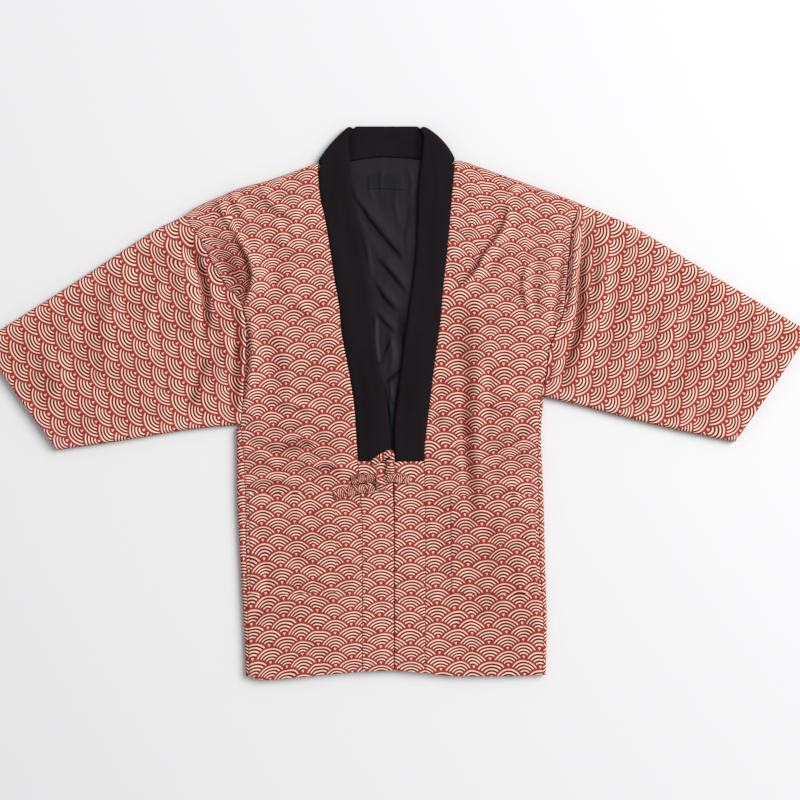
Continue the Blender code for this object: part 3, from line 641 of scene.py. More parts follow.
rowRadii = [  # of the fans up both fronts, by height
    (-150, 25.4), (-90, 24), (-26, 26), (40, 27), (102, 27), (166, 26), (230, 25), (286, 24), (342, 23.7),
]
fronts = {
    "right": {
        "print": {
            "start": (-148, 20),
            "across": [(-430, 26.6), (-100, 26.3), (100, 25.3), (385, 24.7)],
            "lean": [
                (-430, 0.23), (-378, 0.194), (-298, 0.14), (-234, 0.07), (-170, 0.035), (-100, 0.07),
                (0, 0.114), (200, 0.105), (340, 0.158),
            ],
            "drift": [(-430, 28), (-100, 12), (0, 2.6), (20, 0), (385, -46)],
            "along": [(-430, 27.4), (-200, 26.5)] + rowRadii,
        },
        "folds": [
            ((-262, 290), (-246, 260), (-231, 232), (-225, 200), (-231, 174), (-238, 151),
             8.0, 46, 8),
            ((-281, 330), (-272, 304), (-254, 276), 2.8, 24, 7),
            ((-262, 345), (-250, 318), (-226, 286), 2.4, 22, 7),
            ((-214, 352), (-196, 322), (-164, 300), 2.0, 20, 7),
            ((-190, 300), (-176, 262), (-150, 238), 1.8, 16, 8),
            ((-232, 160), (-224, 90), (-234, 0), 5.0, 42, 10),
            ((-196, 8), (-168, 2), (-136, -8), 2.0, 14, 6),
            ((-184, -58), (-152, -51), (-124, -66), 2.4, 14, 5),
            ((-138, -102), (-108, -93), (-82, -104), 2.2, 13, 5),
            ((-250, -124), (-190, -118), (-140, -126), 2.2, 18, 8),
            ((-246, -66), (-214, -76), (-186, -98), 1.8, 14, 8),
            ((-262, 300), (-232, 262), (-206, 214), -2.2, 20, 26),
            ((-206, 120), (-186, 60), (-182, -20), -1.6, 22, 26),
            ((-226, -60), (-176, -72), (-120, -58), -1.8, 12, 16, 1.2),
            ((-190, -300), (-150, -310), (-100, -298), 1.0, 10, 14),
            ((-236, -350), (-212, -300), (-216, -240), 1.3, 16, 12),
            ((-150, 330), (-160, 280), (-148, 230), 1.4, 22, 12),
            ((-176, 190), (-140, 150), (-104, 128), 1.6, 16, 9),
        ],
        "drawn": [  # where the cloth falls away and shows its print narrower
            ((-304, 290), (-270, 226), (-242, 162), 24, 28, 34),
        ],
        "shades": [
            ((-252, 272), (-247, 252), (-237, 228), (-232, 202), (-235, 180), (-242, 158), 0.95, 4, 7),
            ((-284, 322), (-277, 300), (-264, 278), 0.3, 4, 7),
            ((-284, 266), (-258, 218), (-243, 162), 0.75, 18, 22, 0.7),
            ((-80, -100), (-150, -240), (-200, -420), 0.07, 120, 120),
            ((-267, 340), (-256, 314), (-233, 284), 0.3, 4, 6),
            ((-218, 346), (-201, 316), (-170, 294), 0.25, 4, 6),
            ((-241, 150), (-234, 90), (-240, 6), 0.55, 4, 8),
            ((-190, 2), (-166, -5), (-138, -13), 0.35, 5, 8),
            ((-182, -64), (-152, -58), (-126, -72), 0.5, 4, 7),
            ((-136, -108), (-108, -100), (-84, -110), 0.5, 4, 7),
            ((-252, -134), (-236, -138), (-214, -136), 0.5, 4, 5),
            ((-250, -70), (-150, -84), (-66, -84), 0.16, 90, 90),
            ((-120, 100), (-96, 20), (-76, -60), 0.1, 40, 40),
            ((-206, 118), (-188, 60), (-184, -20), 0.14, 22, 22),
        ],
        "flat": (0.29, 0.83),
        "area": 0.163,
        "seed": 11,
    },
    "left": {
        "print": {
            "start": (150, 20),
            "across": [(-430, 26.8), (-100, 26.5), (60, 25.8), (160, 24.9), (385, 24.6)],
            "lean": [
                (-440, 0.026), (-250, 0.06), (-120, 0.06), (-50, 0.0), (80, 0.0), (140, -0.035),
                (210, -0.158), (280, -0.21), (340, -0.167),
            ],
            "drift": [(-430, 31), (0, 1), (20, 0), (60, 0), (150, 3), (385, 26)],
            "along": [(-430, 27.6), (-200, 26.8)] + rowRadii,
        },
        "folds": [
            ((186, 320), (175, 277), (148, 241), (130, 210), (96, 172), 4.4, 26, 7),
            ((216, 228), (209, 186), (220, 140), 3.4, 20, 8),
            ((196, 352), (186, 334), (160, 318), 1.8, 16, 7),
            ((262, 250), (256, 190), (246, 130), 4.0, 10, 34),
            ((140, 75), (142, 0), (136, -70), 2.2, 16, 20),
            ((118, 60), (115, -26), (120, -90), (124, -140), (128, -180), -3.0, 22, 18),
            ((84, -72), (106, -60), (132, -66), 2.2, 12, 5),
            ((122, 10), (144, 6), (168, -6), 1.8, 10, 5),
            ((166, 262), (130, 214), (98, 170), -1.9, 10, 16, 1.2),
            ((232, -40), (200, -66), (150, -92), 2.2, 16, 8),
            ((230, 60), (206, 10), (190, -40), 1.8, 20, 12),
            ((226, -120), (180, -128), (140, -120), 1.5, 14, 12),
            ((226, -330), (206, -290), (210, -230), 1.2, 14, 14),
            ((96, -330), (120, -300), (116, -250), 0.9, 14, 14),
        ],
        "drawn": [
            ((176, 316), (165, 277), (138, 241), (120, 210), (88, 174), 7, 5, 9),
        ],
        "shades": [
            ((182, 318), (170, 276), (143, 239), (125, 207), (91, 170), 0.55, 3, 7),
            ((211, 225), (203, 186), (214, 142), 0.5, 3, 7),
            ((70, -90), (150, -220), (220, -410), 0.17, 130, 130),
            ((270, 250), (264, 190), (254, 130), 0.3, 10, 12),
            ((118, 150), (118, 90), (116, 40), 0.5, 30, 30),
            ((120, 80), (115, -26), (119, -90), (124, -140), (130, -190), 0.55, 20, 16),
            ((84, -78), (106, -67), (130, -72), 0.45, 4, 7),
            ((122, 4), (144, 0), (166, -12), 0.4, 4, 7),
            ((228, -48), (196, -74), (150, -98), 0.35, 5, 9),
            ((60, 70), (150, -50), (232, -90), 0.14, 90, 90),
            ((66, -100), (80, -200), (84, -300), 0.1, 24, 24),
        ],
        "flat": (0.25, 0.83),
        "area": 0.165,
        "seed": 21,
    },
}
pockets = {
    "right": {"shift": (1.6, 1.1), "seed": 31},
    "left": {"shift": (-1.2, -1.4), "seed": 41},
    "rows": (5, 11),  # of the rows of the front
    "rowHeight": 3.0,  # mm, about one step of those rows
    "innerShare": 0.225,
    "outerGap": 5.5,
    "thick": 1.5,
    "flat": (0.15, 0.162),
}
reliefs = {}


def makeFront(side):
    plan = fronts[side]
    grid, places = frontGrid(side)
    bandSide = (np.abs(grid[..., 0]) < 75) & (grid[..., 1] < garment["waist"] - 6)
    dip = np.where(bandSide, garment["bandDip"], garment["seamDip"])
    high = clothTop(grid, garment["frontTop"], plan["folds"], garment["crown"], plan["seed"], dip)
    folded = foldRise(grid, plan["folds"])
    low = garment["wall"] + garment["gap"] + np.maximum(folded, 0)
    low = np.minimum(low, high - garment["thinnest"])
    along = lengths(grid[:, 33])  # of a column near the middle
    rolled = garment["shoulderRoll"] * rounding(along[-1] - along, 34)[:, None]
    squeezed = high + garment["squeeze"] * folded + rolled + foldRise(grid, plan["drawn"])
    flat = clothPlaces(grid, squeezed, plan["seed"])
    spot = printPlaces(flat, plan["print"])
    reliefs[side] = (grid, high, places, flat)
    shade = shadeOf(grid, high, plan["shades"])
    piece = panel(side + "FrontCloth", grid, low, high, spot, wavePrint, liningDark, shade)
    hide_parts(side + "_front")


def gridSample(grid, rows, columns):
    # the surface read at fractional rows and columns
    r0 = np.clip(rows.astype(int), 0, grid.shape[0] - 2)
    c0 = np.clip(columns.astype(int), 0, grid.shape[1] - 2)
    fr = rows - r0
    fc = columns - c0
    if grid.ndim == 3:
        fr, fc = fr[..., None], fc[..., None]
    low = grid[r0, c0] * (1 - fc) + grid[r0, c0 + 1] * fc
    high = grid[r0 + 1, c0] * (1 - fc) + grid[r0 + 1, c0 + 1] * fc
    return low * (1 - fr) + high * fr


def makePocket(side):
    # a patch made from the front's own surface, moved out
    plan = pockets[side]
    grid, high, places, flat = reliefs[side]
    height = pockets["rowHeight"]
    upright = onRims(np.array([[r * garment["fineness"] * height, 0] for r in pockets["rows"]]), 52)
    rowPlaces = np.interp(upright[:, 0] / height, places, np.arange(len(places)))
    span = lengths(grid[len(grid) // 3])
    level = [[span[-1] * pockets["innerShare"], 0], [span[-1] - pockets["outerGap"], 0]]
    columnPlaces = np.interp(onRims(np.array(level), 52)[:, 0], span, np.arange(len(span)))
    rows, columns = np.meshgrid(rowPlaces, columnPlaces, indexing="ij")
    patch = gridSample(grid, rows, columns)
    ground = gridSample(high, rows, columns)
    distance = edgeDistance(patch)
    swell = pockets["thick"] * (0.3 + 0.7 * rounding(distance, 6))
    slack = 0.35 * unevenness(patch, 16, plan["seed"]) * rounding(distance, 18)
    low = ground + garment["gap"]
    top = low + swell + slack
    spot = printPlaces(gridSample(flat, rows, columns) + plan["shift"], fronts[side]["print"])
    shade = shadeOf(patch, top, fronts[side]["shades"])
    piece = panel(side + "PocketCloth", patch, low, top, spot, wavePrint, wavePrint, shade)
    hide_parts(side + "_pocket")
    return patch, top


opening = {
    "right": [(-1.8, -427), (-1.8, -300), (-1.8, -200), (-4.4, -92)],
    "left": [(-0.6, -427), (-0.6, -300), (-0.6, -200), (-1.4, -92)],
}
bands = {
    "right": {
        "print": {
            "start": (-104.5, 8), "across": [(0, 27.2)],
            "lean": [(-430, 0.1), (-300, 0.05), (-170, 0.0)], "along": [(0, 26.2)],
        },
        "seed": 51,
    },
    "left": {
        "print": {"start": (24.6, 8), "across": [(0, 27.4)], "along": [(0, 26.2)]},
        "seed": 61,
    },
    "top": 15.0,
    "flat": (0.052, 0.338),
}


def makeBand(side):
    outward = outwardOf[side]
    steps = garment["bandRows"] * garment["fineness"]
    seam = sideways(seams[side]["inner"][:steps + 1], -garment["gap"] / 2 * outward)
    edge = smoothLine(opening[side], steps)
    seam, edge = onRims(seam, 110), onRims(edge, 110)
    lower = onRims(smoothLine([tuple(seam[0]), tuple(edge[0])], 5), 14)
    upper = onRims(smoothLine([tuple(seam[-1]), tuple(edge[-1])], 5), 14)
    grid = coonsGrid(seam, edge, lower, upper)
    grid[..., 1] = np.minimum(grid[..., 1], garment["waist"] - garment["gap"])
    dip = np.where(np.abs(grid[..., 0]) > 30, garment["bandDip"], garment["seamDip"])
    high = clothTop(grid, bands["top"], [], garment["crown"] / 2, bands[side]["seed"], dip)
    spot = printPlaces(clothPlaces(grid, high, bands[side]["seed"]), bands[side]["print"])
    low = np.full(grid.shape[:2], garment["wall"] + garment["gap"])
    shade = shadeOf(grid, high, [])
    piece = panel(side + "BandCloth", grid, low, high, spot, wavePrint, wavePrint, shade)
    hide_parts(side + "_band")


back = {
    "hemMiddle": (-20, -427),
    "neckline": [(-95, 385.5), (-72, 388.2), (-40, 393.3), (-20, 394.8), (8, 393.6), (40, 391), (64, 388.8)],
    "dip": 2.2,
    "print": {"start": (0, 20), "across": [(0, 26.0)], "along": [(0, 26.5)]},
    "folds": [  # creases of the hidden side, which stand in from the surface below
        ((-210, 300), (-150, 190), (-120, 60), 1.6, 26, 12),
        ((190, 310), (150, 210), (96, 120), 1.5, 22, 12),
        ((-220, -40), (-90, -96), (40, -84), 1.3, 16, 10),
        ((216, -70), (120, -110), (20, -96), 1.2, 14, 12),
        ((-160, -380), (-120, -280), (-150, -190), 1.2, 18, 14),
        ((90, -390), (120, -300), (96, -210), 1.1, 16, 18),
    ],
    "flat": (0.64, 0.83),
    "area": 0.40,
}
freeEdge = {
    "right": [
        (-4.4, -92), (-8, -42), (-12, -6), (-16.5, 22), (-28, 70), (-34, 120), (-38.5, 165),
        (-45.5, 206), (-55.5, 268), (-65, 305), (-70, 342), (-72, 388), (-75, 442.4),
    ],
    "left": [
        (-1.4, -92), (-1.4, -42), (1, -12), (5, 15), (10, 62), (17.5, 117), (24, 165), (30.5, 212),
        (34.5, 262), (36, 305), (37, 345), (42, 388), (47.5, 442.4),
    ],
}
collar = {
    "thick": 8.0,
    "legBase": 8.3,
    "top": [(-62, 444.2), (-50, 444.5), (24, 444.5), (35.5, 444.2)],
    "rise": 3.0,  # how far the soft fold goes up beyond the end of the straight part
    "filled": 2.0,  # how far its lower end is moved out, to fill the corner at the shoulder
    "reach": 444.4,
    "bulge": {"right": 3.5, "left": 6.8},  # how far the soft fold stands out beyond a straight line
    "fade": 35.0,  # the way over which that fades out
    "flat": (0.058, 1.19),
    "shades": [
        ((38, 440), (36, 415), (35, 388), 0.85, 9, 7),
        ((-72, 440), (-70, 415), (-68, 392), 0.5, 6, 8),
        ((-40, 420), (-10, 424), (24, 418), 0.25, 5, 5),
        ((-84, 372), (-78, 300), (-62, 236), 0.3, 8, 9),
        ((66, 366), (62, 300), (58, 220), 0.25, 9, 8),
        ((-40, 120), (-34, 60), (-30, 0), 0.25, 8, 8),
        ((36, 130), (30, 60), (26, -10), 0.2, 8, 8),
        ((-60, 80), (-50, 0), (-42, -100), 0.24, 26, 26),
        ((38, 80), (27, 0), (22, -100), 0.24, 26, 26),
    ],
}


def foldCorner(side):
    line = np.array([collarSeam[side][-1], freeEdge[side][-1]], dtype=float)
    along = (line[1] - line[0]) / np.linalg.norm(line[1] - line[0])
    out = np.array([-along[1], along[0]]) * outwardOf[side]
    return tuple(line[0] - out * (collar["thick"] + garment["gap"] / 2))


def makeBack():
    gap = garment["gap"]
    right = smoothLine(shoulder["right"], 60)[::-1]
    left = smoothLine(shoulder["left"], 60)
    neck = smoothLine([foldCorner("right")] + back["neckline"] + [foldCorner("left")], 40)
    top = np.vstack([right[:-1], neck, left[1:]]) + (0, -gap)
    low = smoothLine(hem["right"][:0:-1] + [back["hemMiddle"]] + hem["left"][1:], 160)
    rightEdge = sideways(seams["right"]["outer"], -gap / 2)
    leftEdge = sideways(seams["left"]["outer"], gap / 2)
    low[0], low[-1] = rightEdge[0], leftEdge[0]
    top[0], top[-1] = rightEdge[-1], leftEdge[-1]
    grid = coonsGrid(onRims(rightEdge, 110), onRims(leftEdge, 110), onRims(low, 90), onRims(top, 90))
    high = garment["wall"] - back["dip"] * (1 - rounding(edgeDistance(grid), 9))
    low = 0.8 * (1 - rounding(edgeDistance(grid), 4)) + foldRise(grid, back["folds"])
    spot = printPlaces(grid, back["print"])
    piece = panel("backCloth", grid, low, high, spot, wavePrint, wavePrint, np.zeros(low.shape))
    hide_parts("back")


print("panels begin")
for side in ("right", "left"):
    makeFront(side)
    pockets[side]["made"] = makePocket(side)
    makeBand(side)
makeBack()
print("back, fronts, pockets and bands are ready")


sleeves = {
    "right": {
        "top": [(-338, 300), (-392, 273), (-510, 196), (-632, 118), (-662.4, 98.4)],
        "under": [(-247, -34), (-330, -42), (-440, -60), (-540.8, -74.4)],
        "cuff": [(-662.4, 98.4), (-604, 12), (-540.8, -74.4)],
        "up": (-0.82, -0.57),  # the way the fans of the print point
        "start": (-420, 110),
        "folds": [
            ((-352, 262), (-322, 200), (-300, 110), 3.2, 14, 36),
            ((-262, 120), (-268, 60), (-272, 0), 2.8, 12, 26),
            ((-324, 250), (-306, 200), (-301, 150), (-302, 100), -4.0, 12, 13),
            ((-296, 76), (-310, 40), (-326, -10), -1.8, 16, 18),
            ((-420, 210), (-452, 130), (-448, 40), 1.6, 34, 26),
            ((-520, 150), (-560, 70), (-548, 0), -1.2, 30, 28),
            ((-370, 180), (-392, 120), (-380, 50), 1.3, 18, 14),
        ],
        "shades": [
            ((-322, 250), (-306, 200), (-301, 150), (-302, 100), 0.6, 10, 12),
            ((-300, 76), (-312, 40), (-326, -10), 0.35, 9, 10),
            ((-298, 152), (-284, 118), (-272, 78), (-266, 30), 0.42, 10, 12),
            ((-266, 176), (-250, 140), (-247, 90), (-249, 30), (-258, -36), 0.85, 8, 15),
            ((-340, 292), (-318, 256), (-290, 214), (-262, 176), 0.4, 8, 9),
            ((-470, 190), (-480, 110), (-470, 30), 0.12, 40, 40),
            ((-600, 110), (-590, 60), (-560, 0), 0.14, 44, 44),
        ],
        "seed": 71,
    },
    "left": {
        "top": [(296, 320), (345, 300), (393, 277), (520, 199), (648, 124), (662.4, 114.4)],
        "under": [(233, 12), (300, -4), (360, -20), (450, -42), (544, -61.6)],
        "cuff": [(662.4, 114.4), (606, 27), (544, -61.6)],
        "up": (0.83, -0.56),
        "start": (420, 110),
        "folds": [
            ((299, 306), (291, 260), (287, 210), (284, 160), (276, 118), 6.0, 14, 9),
            ((272, 90), (262, 60), (256, 24), 3.0, 14, 10),
            ((310, 270), (301, 220), (300, 165), (296, 115), (284, 72), -3.8, 14, 12),
            ((300, 100), (288, 60), (276, 26), -1.8, 12, 20),
            ((342, 270), (336, 200), (326, 130), 2.4, 22, 18),
            ((420, 226), (446, 140), (436, 50), 1.5, 30, 30),
            ((540, 160), (566, 80), (548, 10), -1.1, 28, 28),
            ((372, 190), (380, 120), (366, 60), 1.2, 16, 14),
        ],
        "shades": [
            ((300, 222), (297, 190), (298, 155), (294, 120), (285, 84), (268, 42), 0.95, 8, 13, 0.8),
            ((284, 280), (280, 235), (277, 190), (272, 150), 0.3, 3, 4),
            ((326, 260), (322, 200), (314, 140), 0.25, 16, 12),
            ((250, 60), (243, 40), (240, 20), 0.4, 8, 8),
            ((480, 190), (490, 110), (470, 20), 0.08, 40, 40),
        ],
        "seed": 81,
    },
    "radius": (26.95, 27.4),
    "reach": 8.0,  # how far in from its folded edges the sleeve swells to its full thickness
    "slit": 0.4,
    "cuffSlit": 2.4,
    "flat": (0.86, 0.36),
    "area": 0.25,
}


def sleeveGrid(side):
    plan = sleeves[side]
    first = seams[side]["sideSteps"] * garment["fineness"]
    arm = sideways(seams[side]["outer"][first:], garment["gap"] / 2 * outwardOf[side])[::-1]
    arm = onRims(arm, 92)
    cuff = onRims(smoothLine(plan["cuff"], 60), 92)
    ease = np.linspace(0, 1, 104) ** 1.2
    upper = between(plan["top"], arm[0], cuff[0])
    lower = between(plan["under"], arm[-1], cuff[-1])
    ends = np.array([0.7, 1.8, 3.2])

    def spaced(line):
        total = lengths(line)[-1]
        body = 5 + ease * (total - 10)
        return atLengths(line, np.concatenate([[0], ends, body, total - ends[::-1], [total]]))

    return coonsGrid(spaced(upper), spaced(lower), arm, cuff)


def makeSleeve(side):
    # a flat tube: over the front wall, back under the rear wall, and the same round the slit inside
    plan = sleeves[side]
    grid = sleeveGrid(side)
    stations, across = grid.shape[:2]
    middle = garment["frontTop"] / 2
    rise = foldRise(grid, plan["folds"])
    along = lengths(grid[:, across // 2])
    fromEnd = np.minimum(along, along[-1] - along)
    outer, inner, spots = [], [], []
    up = np.array(plan["up"]) / np.linalg.norm(plan["up"])
    turn = math.degrees(math.atan2(-up[0], up[1]))
    printPlan = {
        "start": plan["start"], "turn": turn,
        "across": [(0, sleeves["radius"][0])], "along": [(0, sleeves["radius"][1])],
    }
    soft = 0.85 * unevenness(grid, 40, plan["seed"]) + 0.4 * unevenness(grid, 16, plan["seed"] + 1)
    topLine = grid[:, 0]
    topWay = (topLine[-1] - topLine[0]) / np.linalg.norm(topLine[-1] - topLine[0])
    overs = np.zeros(grid.shape[:2])
    for s, line in enumerate(grid):
        along = lengths(line)
        fromEdge = np.minimum(along, along[-1] - along)
        roundEdge = rounding(fromEdge, sleeves["reach"])
        roundEnd = rounding(fromEnd[s], 5)
        dip = garment["seamDip"] * (1 - roundEnd)
        crown = garment["crown"] * rounding(fromEdge, garment["crownReach"]) * roundEnd
        calm = rounding(np.minimum(fromEdge, fromEnd[s]), 24)
        over = middle + (middle - dip + crown) * (0.03 + 0.97 * roundEdge) + rise[s] + soft[s] * calm
        below = middle - (middle - 0.6 * (1 - roundEnd)) * (0.1 + 0.9 * roundEdge)
        overs[s] = over
        outer.append(np.vstack([np.column_stack([line, over]), np.column_stack([line, below])[::-1]]))
        share = garment["wall"] / along[-1]
        inside = atLengths(line, (share + (1 - 2 * share) * along / along[-1]) * along[-1])
        lift = foldRise(inside, plan["folds"])
        apart = sleeves["cuffSlit"] if s == stations - 1 else sleeves["slit"]
        half = apart / 2 * (0.2 + 0.8 * roundEdge)
        upperSlit = np.minimum(middle + np.maximum(lift, 0) + half, over - 1.2)
        upperSlit = np.maximum(upperSlit, middle - half + 0.1)
        inner.append(np.vstack([
            np.column_stack([inside, upperSlit]), np.column_stack([inside, middle - half])[::-1]]))
    flat = clothPlaces(grid, overs + garment["squeeze"] * rise, plan["seed"])
    offset = grid - topLine[:, None]
    mirrored = topLine[:, None] + 2 * (offset @ topWay)[..., None] * topWay - offset
    front = printPlaces(flat, printPlan)
    rear = printPlaces(mirrored, printPlan)[:, ::-1]
    joint = np.concatenate([front, front[:, -1:], rear, front[:, :1]], axis=1)
    sections = np.array(outer)
    count = sections.shape[1]
    total = stations * count
    index = np.arange(total).reshape(stations, count)
    after = np.roll(index, -1, axis=1)
    quads = np.stack([index[:-1], after[:-1], after[1:], index[1:]], axis=-1)
    hereSpots = np.concatenate([joint[:, :across], joint[:, across + 1:-1]], axis=1)
    nextSpots = np.concatenate([joint[:, 1:across + 1], joint[:, across + 2:]], axis=1)
    corners = np.stack([hereSpots[:-1], nextSpots[:-1], nextSpots[1:], hereSpots[1:]], axis=2)
    flatQuads = quads.reshape(-1, 4)
    flatCorners = corners.reshape(-1, 4, 2)
    innerQuads = flatQuads[:, ::-1] + total
    rims, rimSpots = [], []
    for s, order in ((0, 1), (stations - 1, -1)):
        here, ahead = hereSpots[s], nextSpots[s]
        rims.append(np.stack([index[s], index[s] + total, after[s] + total, after[s]], axis=-1)[:, ::order])
        rimSpots.append(np.stack([here, here + 0.2, ahead + 0.2, ahead], axis=1)[:, ::order])
    faces = np.concatenate([flatQuads, innerQuads] + rims)
    allCorners = np.concatenate([flatCorners, flatCorners[:, ::-1]] + rimSpots)
    points = np.vstack([sections.reshape(-1, 3), np.array(inner).reshape(-1, 3)])
    a, b, c = points[flatQuads[count * 20 + across // 2][:3]]
    if np.cross(b - a, c - a)[2] < 0:
        faces = faces[:, ::-1]
        allCorners = allCorners[:, ::-1]
    kinds = [0] * len(flatQuads) + [1] * len(innerQuads) + [0] * (2 * count)
    shade = np.hstack([shadeOf(grid, overs, plan["shades"]), np.zeros(grid.shape[:2])])
    shades = np.concatenate([shade.ravel(), np.zeros(total)])
    piece = finishPiece(side + "SleeveCloth", points, faces.tolist(), allCorners.reshape(-1, 2),
                        [wavePrint, liningDark], kinds, shades)
    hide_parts(side + "_sleeve")


gussets = {
    "right": {
        "edge": [(-239, -437), (-241, -380), (-248, -250), (-253, -154), (-253.5, -90), (-254, -40)],
        "print": {"start": (-242, 12), "across": [(0, 26.4)], "along": [(0, 26.4)]},
        "flat": (0.03, 0.40),
    },
    "left": {
        "edge": [(241.5, -434.5), (243, -346), (240, -236), (238, -154), (234, -50), (238, 8)],
        "print": {"start": (250, 10), "across": [(0, 26.4)], "along": [(0, 26.6)]},
        "flat": (0.026, 0.445),
    },
    "dip": 0.8,
}


def makeGusset(side):
    # a strip turned round the side edge, with a thin slit where its two layers meet
    plan = gussets[side]
    steps = seams[side]["sideSteps"] * garment["fineness"]
    seam = sideways(seams[side]["outer"][:steps + 1], garment["gap"] / 2 * outwardOf[side])
    rim = smoothLine(plan["edge"], steps)
    seam[-1] = seam[-1] + (0, -5)
    half = garment["frontTop"] / 2
    high = half - gussets["dip"]
    turns = np.radians(np.linspace(90, -90, 19))[:-1]
    sections, spots = [], []
    for point, edge in zip(seam, rim):
        width = np.linalg.norm(edge - point)
        out = (edge - point) / width
        reach = min(width, half)
        arc = [(width - reach + reach * np.cos(t), half + high * np.sin(t)) for t in turns]
        slit = [(0, half - 0.2), (width * 0.35, half), (0, half + 0.2)]
        loop = [(0, garment["frontTop"] - garment["seamDip"])] + arc + [(width - reach, 0), (0, 0)] + slit
        around = lengths(np.array(loop))
        sections.append([(*(point + out * d), z) for d, z in loop])
        spot = np.array([point + out * s for s in around])
        spots.append(printPlaces(np.vstack([spot, spot[-1:]]), plan["print"]))
    plain = np.zeros((len(sections), len(sections[0])))
    piece = loft(side + "GussetCloth", sections, spots, wavePrint, plain)
    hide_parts(side + "_gusset")


for side in ("right", "left"):
    makeSleeve(side)
    makeGusset(side)
print("sleeves and side strips are ready")


def collarRing(seamPoint, freePoint, middle, axis, bulge=(0, 0)):
    shares = 0.5 - 0.5 * np.cos(np.linspace(0, np.pi, 15))
    edge = np.minimum(shares, 1 - shares) * np.linalg.norm(np.array(freePoint) - seamPoint)
    full = 0.12 + 0.88 * rounding(edge, 5.5)
    full = full * (1 + 0.05 * np.sin(np.pi * shares))
    start = np.array([*seamPoint, 0]) + middle
    end = np.array([*freePoint, 0]) + middle
    line = start + shares[:, None] * (end - start)
    line[:, :2] += np.outer(np.sin(np.pi * shares) ** 0.8, bulge)
    lift = full[:, None] * collar["thick"] / 2 * np.asarray(axis)
    return np.vstack([line + lift, (line - lift)[::-1]])


def foldRings(corner, top, out, direction, bulge):
    radius = collar["legBase"] / 2
    centre = collar["thick"] / 2 + radius
    made = []
    for angle in np.radians(np.linspace(90, -90, 19)[::direction]):
        axis = np.array([out[0] * np.cos(angle), out[1] * np.cos(angle), np.sin(angle)])
        made.append(collarRing(corner, top, axis * radius + (0, 0, centre), axis, bulge))
    return made


def faded(distance):
    return np.clip(1 - distance / collar["fade"], 0, 1) ** 2


def makeCollar():
    upper = np.array([0, 0, collar["legBase"] + collar["thick"] / 2])
    lower = np.array([0, 0, collar["thick"] / 2])
    up = np.array([0, 0, 1])
    legs = {}
    for side in ("right", "left"):
        outward = outwardOf[side]
        steps = garment["bandRows"] * garment["fineness"]
        seam = sideways(seams[side]["inner"][steps:], -garment["gap"] / 2 * outward)
        free = smoothLine(freeEdge[side], len(seam) - 1)
        fold = free[-1] - seam[-1]
        along = fold / np.linalg.norm(fold)
        out = np.array([-along[1], along[0]]) * outward
        corner = np.array(foldCorner(side)) + out * collar["filled"]
        topCorner = free[-1] - out * (collar["thick"] + garment["gap"] / 2) + along * collar["rise"]
        apart = lengths(seam)[-1] / (len(seam) - 1)
        skip = int(collar["thick"] / apart) + 2  # rings that would lie beyond the fold
        fade = faded(np.arange(skip, len(seam)) * apart - collar["thick"])
        bulges = np.outer(fade, out * collar["bulge"][side])
        legs[side] = (seam[:-skip], free[:-skip], corner, topCorner, out, bulges)
    rightSeam, rightFree, rightCorner, rightTop, rightOut, rightBulges = legs["right"]
    leftSeam, leftFree, leftCorner, leftTop, leftOut, leftBulges = legs["left"]
    rings = [collarRing(a, b, upper, up, m) for a, b, m in zip(rightSeam, rightFree, rightBulges[::-1])]
    rings += foldRings(rightCorner, rightTop, rightOut, 1, rightOut * collar["bulge"]["right"])
    neck = smoothLine([tuple(rightCorner)] + back["neckline"] + [tuple(leftCorner)], 50)
    top = smoothLine([tuple(rightTop)] + collar["top"] + [tuple(leftTop)], 50)
    top[:, 1] = np.minimum(top[:, 1], collar["reach"])
    steps = lengths(neck)
    bulges = np.outer(faded(steps), rightOut * collar["bulge"]["right"])
    bulges += np.outer(faded(steps[-1] - steps), leftOut * collar["bulge"]["left"])
    rings += [collarRing(a, b, lower, -up, m) for a, b, m in zip(neck[1:-1], top[1:-1], bulges[1:-1])]
    rings += foldRings(leftCorner, leftTop, leftOut, -1, leftOut * collar["bulge"]["left"])
    rings += [collarRing(a, b, upper, up, m) for a, b, m in zip(leftSeam[::-1], leftFree[::-1], leftBulges)]
    rings = np.array(rings)
    spots = rings[..., :2]
    wave = unevenness(spots, 22, 91) * 0.4 + unevenness(spots * (1, 0.3), 14, 92) * 0.5
    behind = rounding(np.maximum(spots[..., 1] - 384, 0), 12)
    wave += behind * unevenness(spots * (0.25, 1), 7, 93) * 0.45
    shade = foldRise(spots, collar["shades"]) + unevenness(spots * (1, 0.2), 18, 94) * 0.14
    centre = rings.mean(axis=1, keepdims=True)
    way = np.sign(rings[..., 2] - centre[..., 2])
    fromFold = np.abs(np.arange(len(rings)) - len(rightSeam) - 10)  # in rings, from a fold's middle
    fromFold = np.minimum(fromFold, fromFold[::-1]) - 9
    calm = np.clip(fromFold / 8, 0, 1)[:, None] * np.clip((rings[..., 2] - 6) / 4, 0, 1)
    rings[..., 2] += wave * calm * (way > 0)
    blank = rings[..., :2] / fanRadius
    blank = np.concatenate([blank, blank[:, :1]], axis=1)
    piece = loft("collarCloth", rings, blank, collarBlack, shade)
    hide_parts("collar")


